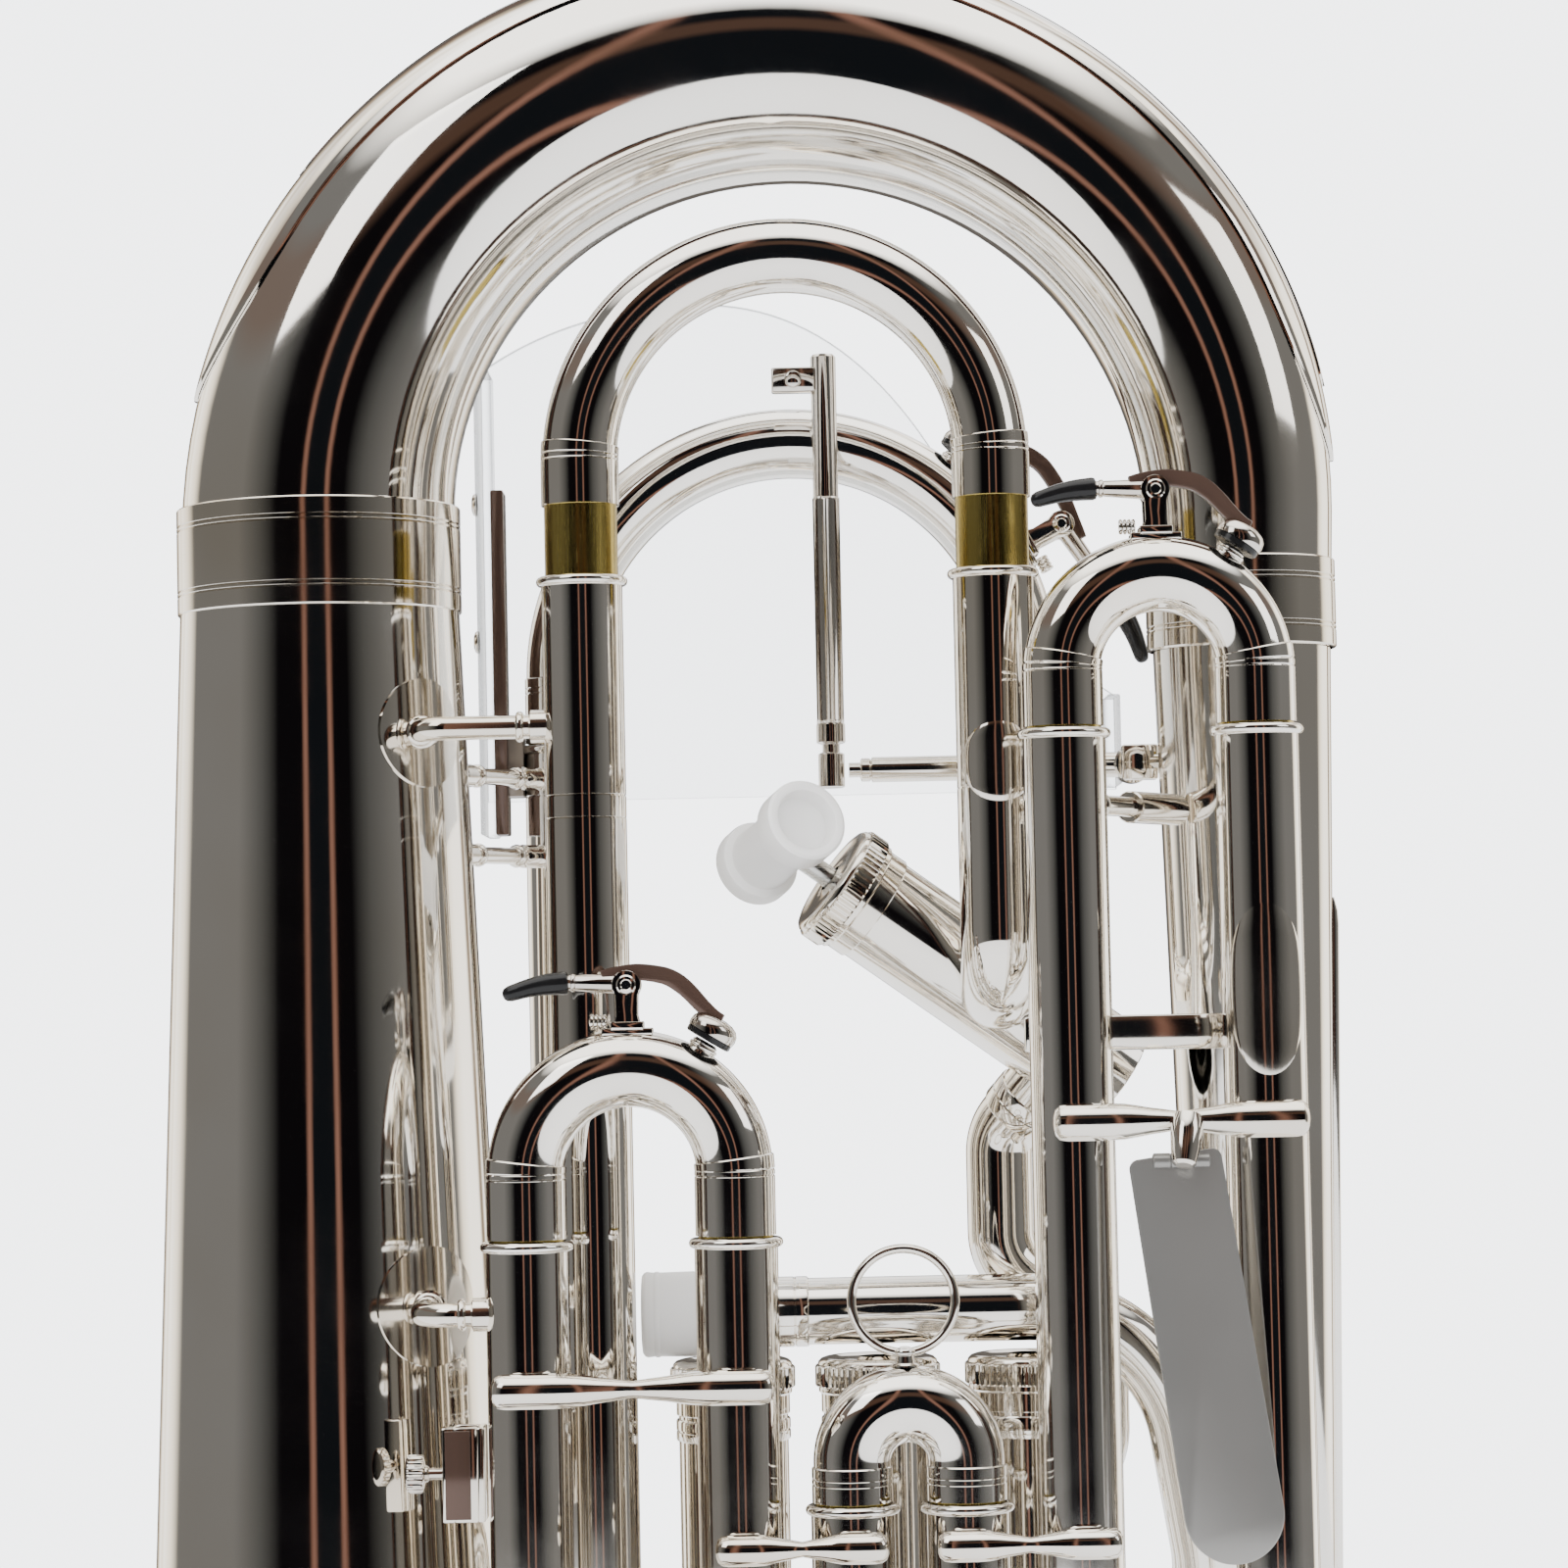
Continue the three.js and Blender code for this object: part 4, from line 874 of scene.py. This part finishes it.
def make_pipes():
    route = Route([(-31, LEAD_Y, LEAD_Z), (80, LEAD_Y, LEAD_Z), (89, -14, 300), (88, 8, 185),
                   (VALVE_XS[0], 8, 185), (VALVE_XS[0], VALVE_Y + 3, 185)], [34, 30, 26, 9.5])
    end = route.length
    keys = [(0, 7.2), (10, 7.2)] + sleeve(10.4, 34, 7.3, 0.4, (14, 31)) + [(35, 7.3)]
    keys += sleeve(end - 24, end - 17, 7.5, 0.5, (end - 20.5,)) + [(end, 7.6)]
    bore = [(0, 6.2), (12, 5.4), (end, 6.6)]
    open_into(stand_in("leadpipe", tube(route, keys, bore), SILVER), 1)
    cap = [(0.35, 0.02), (0.3, 6.6), (0.0, 7.4), (0.1, 8.4), (0.6, 9.1), (1.2, 9.35)]
    cap += bead(3.4, 9.15, 0.2, 0.6) + [(11.4, 9.3), (11.9, 9.15), (12.2, 8.7)]
    route = straight((-33.6, LEAD_Y, LEAD_Z), (-21.4, LEAD_Y, LEAD_Z))
    stand_in("receiver_cap", tube(route, cap, [(2.2, 0.02), (2.3, 7.6), (12.2, 7.6)], 80), WHITE)
    route = Route([(VALVE_XS[2], VALVE_Y + 3, 316), (67, 5, 316), (67, 5, 350), (46.5, 4, 364),
                   (46.5, 4, 393), (59, -6, 408)], [11, 12, 13, 11])
    end = route.length
    keys = [(0, 7.4)] + sleeve(12, 20, 7.4, 0.5, (16,)) + sleeve(end - 16, end - 9, 7.4, 0.5, (end - 12.5,))
    open_into(stand_in("crossover_tube", tube(route, keys + [(end, 7.4)], 6.7), SILVER), 3, 4)


# ---- braces
def wave_brace(x0, x1, z, thick):
    """A turned brace with a lobe at each end and a waist between."""
    y = FRONT_Y - TUBE_R - 2.4
    length = x1 - x0
    lobe = [(0, 0.02), (0.1, 0.4), (0.5, 0.72), (1.4, 0.93), (3.0, 1.0)]
    neck = [(0.22, 1.0), (0.28, 0.96), (0.33, 0.85), (0.38, 0.72), (0.43, 0.63)]
    keys = [(s, r * thick) for s, r in lobe + [(length * part, r) for part, r in neck]]
    keys += [(length * 0.5, thick * 0.48)] + [(length - s, r) for s, r in keys[::-1]]
    return spindle((x0, y, z), (x1, y, z), keys)


def saddle(x, z, half_wide, half_high, y=FRONT_Y):
    """A curved foot soldered round the front of an upright tube."""
    def place(v, u, lift):
        across = u * math.sqrt(1 - v * v / 2) * half_wide / TUBE_R
        r = TUBE_R + lift * (1 if max(abs(u), abs(v)) < 0.95 else 0.55)
        height = z + v * math.sqrt(1 - u * u / 2) * half_high
        return x + r * math.sin(across), y - r * math.cos(across), height

    steps = np.linspace(-1, 1, 13)
    return shell(steps, steps, place, (0.75, -0.2))


def ringed_stay(route, r=2.6, collar=3.6):
    end = route.length
    keys = [(0, collar - 0.3), (0.3, collar), (3.6, collar), (4.0, r)]
    keys += bead(6.4, r, 0.8, 0.9) + [(7.6, r), (end - 7.6, r)] + bead(end - 6.4, r, 0.8, 0.9)
    keys += [(end - 4.4, r), (end - 4.0, collar), (end - 0.3, collar), (end, collar - 0.3)]
    return tube(route, keys, None, 40)


def bell_flange(height, y, radius):
    """A thin round plate bent onto the bell branch."""
    centre = math.atan2(y, 24.5)

    def place(a, b, lift):
        u, v = a * math.sqrt(1 - b * b / 2) * radius, b * math.sqrt(1 - a * a / 2) * radius
        r = bell_radius(height + v) + lift
        return -BRANCH_X + r * math.cos(centre + u / r), r * math.sin(centre + u / r), height + v

    steps = np.linspace(-1, 1, 21)
    return shell(steps, steps, place, (0.75, -0.1))


def make_braces():
    lobes = (("wave_brace_first", -63.5, -4.5, 343.7, 3.7), ("wave_brace_middle_left", -17.5, 18.5, 310, 3.3),
             ("wave_brace_middle_right", 28.5, 67, 310, 3.3), ("wave_brace_third", 54.5, 108, 397, 3.9))
    for node, x0, x1, z, thick in lobes:
        parts = [wave_brace(x0, x1, z, thick)]
        if node.endswith("third"):
            keys = [(0, 2.9), (2, 3.3), (4, 3.4), (8, 3.0), (10.6, 2.5), (11.2, 1.8), (11.4, 0.02)]
            parts.append(spindle((82.5, -69, 398), (81, -73.3, 388), keys))
        stand_in(node, parts, BRIGHT)
    stand_in("flat_brace_bar", rounded_box((73.35, -45, 415.25), (23.15, 1.8, 3.75), 0.4), BRIGHT)
    upper = Route([(-79, -21, 484), (-79, FOURTH_Y, 484), (-50.6, FOURTH_Y, 484)], 6)
    stand_in("bell_brace_upper", [ringed_stay(upper), bell_flange(484, -21.05, 12)], BRIGHT)
    lower = Route([(-79, -27.6, 359), (-79, FRONT_Y, 359), (-63.6, FRONT_Y, 359)], 8)
    stand_in("bell_brace_lower", [ringed_stay(lower), bell_flange(359, -27.9, 13)], BRIGHT)
    for name, z in (("upper", 476), ("lower", 458)):
        route = straight((-73.4, 8, z), (MAIN.left - 7, MAIN_Y - 5, z))
        detail("bell_stay_" + name, "bell", ringed_stay(route, 1.9, 2.7), BRIGHT)
    third = straight((64.6, -48.8, 464), (86.9, -10.5, 464))
    end = third.length
    keys = [(0, 3.0), (2.4, 3.0), (2.6, 2.4)] + bead(4.4, 2.4, 0.9, 0.9) + [(5.6, 2.2), (end * 0.46, 2.2)]
    keys += [(end * 0.46 + 0.1, 3.2), (end * 0.46 + 0.5, 3.5), (end - 0.4, 3.5), (end, 3.2)]
    detail("third_stay", "small_branch", tube(third, keys, None, 40), BRIGHT)
    detail("fourth_tube_disc", "fourth_slide_tube_right", saddle(FOURTH.right, 474, 8.6, 8.6, FOURTH_Y), BRIGHT)
    detail("third_tube_guard", "third_slide_tube_right", saddle(THIRD.right, 424, 9, 18), BRIGHT)


def make_lyre():
    x, y, z = -70.6, -47, 325
    walls = [rounded_box((x + dx, y + dy, z), (half_x, half_y, 10), 0.4) for dx, dy, half_x, half_y in
             ((-3.15, 0, 1.45, 4.6), (3.75, 0, 0.85, 4.6), (0.6, -3.5, 2.6, 1.15), (0.6, 3.5, 2.6, 1.15))]
    stand_in("lyre_box", walls, BRIGHT)
    # a thin sheet painted dark brown over the box's flat front: a painted reflection
    detail("lyre_box_front", "lyre_box", rounded_box((x - 1.2, y - 4.7, z), (2.7, 0.3, 9.3), 0.12), PAINTED_REFLECTION_NICKEL)
    keys = [(0, 2.6), (0.1, 3.3), (0.5, 3.9), (0.9, 4.1), (3.4, 4.1), (3.8, 3.8), (4.0, 3.0), (4.2, 1.9),
            (4.8, 1.6), (5.0, 1.3), (11.4, 1.3), (11.7, 1.0)]
    screw = spindle((-83.2, y, z), (-71.5, y, z), keys, 96, None, knurled(0.8, 3.5, 0.3))
    stand_in("lyre_screw", screw, NICKEL)


make_pipes()
make_braces()
make_lyre()


# ---- hand guard
def quad_curve(start, control, end, count=18):
    start, control, end = (np.asarray(p, float) for p in (start, control, end))
    return [tuple((1 - t) ** 2 * start + 2 * t * (1 - t) * control + t * t * end)
            for t in np.linspace(0, 1, count)[1:]]


FACING_FRONT = [(1, 0, 0), (0, 0, 1), (0, -1, 0)]      # local x, y, z of a plate that faces -Y


def screw_head(centre, axis, r=2.6):
    """A round slotted head lying on a plate, as a turned button with a shallow dish."""
    keys = [(0, r), (0.5, r), (0.95, r * 0.86), (1.2, r * 0.55), (1.25, 0.02)]
    return spindle(centre, centre + unit(axis) * 1.3, keys, 36)


def make_guard():
    outline = [(-70, 471.7), (78.5, 471.7), (78.5, 494)]
    outline += quad_curve((78.5, 494), (52, 512), (44, 540)) + quad_curve((44, 540), (20, 589), (-18, 589), 26)
    outline += quad_curve((-18, 589), (-48, 589), (-70, 574))
    panel = placed(plate(outline, 1.5, 0.35), FACING_FRONT, (0, 51.5, 0))
    wing = rounded_box((-68.5, 37.2, 517.5), (1.5, 12.8, 54.5), 0.4)
    tab = rounded_box((77, 41, 482.5), (1.5, 9, 10.5), 0.4)
    stand_in("hand_guard", [panel, wing, tab], ACRYLIC)
    bar = rounded_box((-65.2, 32, 503), (1.5, 5, 40), 0.35)
    left = MAIN.left - TUBE_R
    foot = rounded_box(((left - 66) / 2, 35.5, 481), ((left + 66) / 2, 5.5, 9), 0.35)
    heads = [screw_head((-70, 31, z), (-1, 0, 0)) for z in (508, 540)]
    # the foot is painted dark as painted shade
    stand_in("guard_bar", foot, PAINTED_SHADE_NICKEL)
    detail("guard_bar_screws", "guard_bar", heads, NICKEL)
    # the strip is painted dark brown, a painted reflection
    detail("guard_bar_strip", "guard_bar", bar, PAINTED_REFLECTION_NICKEL)


# ---- trigger
ROD_X, ROD_Y = 11.0, 21.5
CRANK_X, CRANK_Z = 80.0, 476.0
HINGE = vec(81.0, -67.3, 388.6)


def make_trigger():
    def hexagon(s, turns):
        if not 15.5 < s < 66.5:
            return 0 * turns
        flat = np.mod(turns + math.pi / 6, math.pi / 3) - math.pi / 6
        return 3.3 / np.cos(flat) * math.cos(math.pi / 6) - 3.3 + 0.25

    keys = [(0, 2.5), (0.3, 3.0), (7.7, 3.0), (8, 2.6), (8.2, 2.0), (10, 2.0), (10.2, 2.9), (10.5, 3.3),
            (14.6, 3.3), (14.9, 3.0), (15.4, 3.2), (15.6, 3.3), (66.3, 3.3), (66.6, 3.2), (67, 2.9), (99.4, 2.9),
            (100, 2.4)]
    rod = tube(upright(ROD_X, ROD_Y, 472, 572), keys, None, 48, hexagon)
    clamp = rounded_box((4, 21.5, 566.2), (5, 2.5, 2.8), 0.4)
    head = screw_head((4, 19, 566.2), (0, -1, 0), 2.0)
    stand_in("trigger_rod", [rod, clamp, head], NICKEL)
    keys = [(0, 1.7), (2.6, 1.7), (2.7, 2.3), (3.0, 2.7), (4.6, 2.7), (5.1, 2.3), (5.3, 2.9), (12, 2.9),
            (60, 2.9), (62, 2.9)]
    bar = spindle((ROD_X + 4, ROD_Y, CRANK_Z), (CRANK_X - 3, ROD_Y, CRANK_Z), keys, 48)
    keys = [(0, 3.9), (0.4, 4.4), (6.8, 4.4), (7.2, 3.9)]
    hub = spindle((CRANK_X, ROD_Y - 3.6, CRANK_Z), (CRANK_X, ROD_Y + 3.6, CRANK_Z), keys, 56, 1.9)
    stand_in("trigger_crank", [bar, hub], BRIGHT)
    pin = spindle((CRANK_X, 12, CRANK_Z), (CRANK_X, ROD_Y + 5, CRANK_Z), [(0, 1.5), (14.5, 1.5)], 32)
    block = rounded_box((81, 13.1, 476), (4, 2.5, 4), 0.4)
    arm = spindle((84, 13, 476), (96, 9, 476), [(0, 2.6), (12.6, 2.6)], 32)
    stand_in("crank_bracket", [pin, block, arm], BRIGHT)


def make_paddle():
    """A leaning thumb plate with a round end, hung from a barrel under the third brace."""
    half, length = 9.7, 84.5
    outline = arc(-half + 2, -2, 2, 90, 180, 8) + [(-half - 0.3, -length * 0.5)]
    outline += arc(0, -length + half, half + 0.6, 180, 360, 40)
    outline += [(half + 0.3, -length * 0.5)] + arc(half - 2, -2, 2, 0, 90, 8)
    shape = placed(plate(outline, 0.9, 0.35), FACING_FRONT, (0, -0.9, 0))
    lean, tilt = 0.075, 0.135
    points, faces = shape
    x, y, z = points.T
    y, z = rotated(y, z, -lean)
    x, z = rotated(x, z, tilt)
    points = np.column_stack([x, y, z]) + [HINGE[0] - 1.5, HINGE[1] + 0.9, 390]
    keys = [(0, 1.3), (0.3, 1.7), (3.6, 1.7), (3.7, 1.5), (3.9, 1.7), (8.1, 1.7), (8.3, 1.5), (8.4, 1.7),
            (11.7, 1.7), (12, 1.3)]
    barrel = spindle(HINGE - [6, 0, 0], HINGE + [6, 0, 0], keys, 32)
    stand_in("trigger_paddle", [(points, faces), barrel], SATIN)


make_guard()
make_trigger()
make_paddle()


# ---- floor, light and camera
def make_floor():
    floor = new_object("floor", turned(-ORIGIN_X, 0, [(-4.4, 2000), (-0.4, 2000)], None, 96))
    mat, tree, shader = material("floor", (0.78, 0.79, 0.81), 0.0, 0.55)
    feed(shader.inputs["Roughness"], remap(tree, noise(tree, 6, 4), 0.3, 0.7, 0.5, 0.62))
    floor.data.materials.append(mat)


def make_world():
    """A pale studio for the camera; round it, what polished silver reflects: white boards and a dark front."""
    world = bpy.data.worlds.new("studio")
    bpy.context.scene.world = world
    world.use_nodes = True
    tree = world.node_tree
    direction = add_node(tree, "TexCoord", "Generated", {})
    x, y, z = add_node(tree, "SeparateXYZ", "X", (direction,)).node.outputs

    def math_node(operation, *values):
        return add_node(tree, "Math", "Value", values, operation=operation)

    def ramp(source, stops):
        node = add_node(tree, "ValToRGB", "Color", (source,)).node
        while len(node.color_ramp.elements) < len(stops):
            node.color_ramp.elements.new(0.5)
        for element, (position, color) in zip(node.color_ramp.elements, stops):
            element.position = position
            element.color = (*color, 1) if isinstance(color, tuple) else (color, color, color, 1)
        return node.outputs["Color"]

    azimuth = math_node("ARCTAN2", x, math_node("MULTIPLY", y, -1.0))
    around = math_node("MULTIPLY_ADD", azimuth, 0.5 / math.pi, 0.5)
    white, low, cream = (0.80, 0.765, 0.70), (1.0, 0.985, 0.95), (0.62, 0.565, 0.47)
    tan, shade, blue = (0.30, 0.24, 0.17), (0.13, 0.10, 0.07), (0.0022, 0.0026, 0.0033)
    dark, brown, warm = (0.0015, 0.0013, 0.0016), (0.10, 0.050, 0.036), (0.055, 0.030, 0.020)
    grey, dim, deep = (0.060, 0.0585, 0.056), (0.028, 0.028, 0.027), (0.045, 0.041, 0.037)

    def at(degrees):
        return 0.5 + degrees / 360

    walls = ramp(around, [
        (0.0, deep), (at(-162), deep), (at(-155), tan), (at(-149), white), (at(-143), cream), (at(-139), white),
        (at(-127), cream), (at(-116), grey), (at(-62), grey), (at(-42), dim), (at(-29), dark), (at(-9), dark),
        (at(-8), brown), (at(-6), brown), (at(-5), blue), (at(10.5), blue), (at(11.5), brown), (at(13.5), brown),
        (at(14.5), dark), (at(27), dark), (at(42), dim), (at(70), grey), (at(108), grey), (at(114), cream),
        (at(122), white), (at(137), white), (at(140), shade), (at(144), shade), (at(147), white), (at(158), tan),
        (at(164), deep), (1.0, deep)])
    height = math_node("MULTIPLY_ADD", z, 0.5, 0.5)
    band = ramp(height, [(0.0, 1.0), (0.30, 1.0), (0.35, 0.0), (0.86, 0.0), (0.93, 1.0), (1.0, 1.0)])
    above = ramp(height, [(0.0, 0.0), (0.70, 0.0), (0.74, 0.6), (0.79, 0.6), (0.82, 0.0), (1.0, 0.0)])
    room = blend(tree, above, walls, blend(tree, 0.75, walls, warm))
    color = blend(tree, band, room, low)
    for ray, shown in (("Is Diffuse Ray", (0.78, 0.78, 0.78)), ("Is Camera Ray", (1.28, 1.30, 1.33))):
        color = blend(tree, add_node(tree, "LightPath", ray, {}), color, shown)
    feed(tree.nodes["Background"].inputs["Color"], color)
    tree.nodes["Background"].inputs["Strength"].default_value = 3.4


def make_lights():
    rows = (("key", (-900, -900, 1500), 700, 5.0), ("fill", (1200, -500, 1100), 600, 3.0),
            ("back", (200, 1400, 1300), 900, 5.0))
    for name, spot, size, power in rows:
        data = bpy.data.lights.new(name, "AREA")
        data.energy = power
        data.size = size / 1000
        light = bpy.data.objects.new(name, data)
        light.location = (vec(*spot) + [ORIGIN_X, 0, 0]) / 1000
        aim = Vector((ORIGIN_X / 1000, 0, 0.42)) - light.location
        light.rotation_euler = aim.to_track_quat("-Z", "Y").to_euler()
        bpy.context.scene.collection.objects.link(light)


def make_camera():
    data = bpy.data.cameras.new("camera")
    data.lens = 99
    data.sensor_width = 36
    data.clip_start, data.clip_end = 0.05, 20
    camera = bpy.data.objects.new("camera", data)
    camera.location = (ORIGIN_X / 1000, -0.967, 0.4248)
    level = Matrix.Rotation(math.radians(90 + 2.8), 4, "X")
    camera.rotation_euler = (level @ Matrix.Rotation(math.radians(-1.2), 4, "Z")).to_euler()
    bpy.context.scene.collection.objects.link(camera)
    bpy.context.scene.camera = camera


make_floor()
make_world()
make_lights()
make_camera()
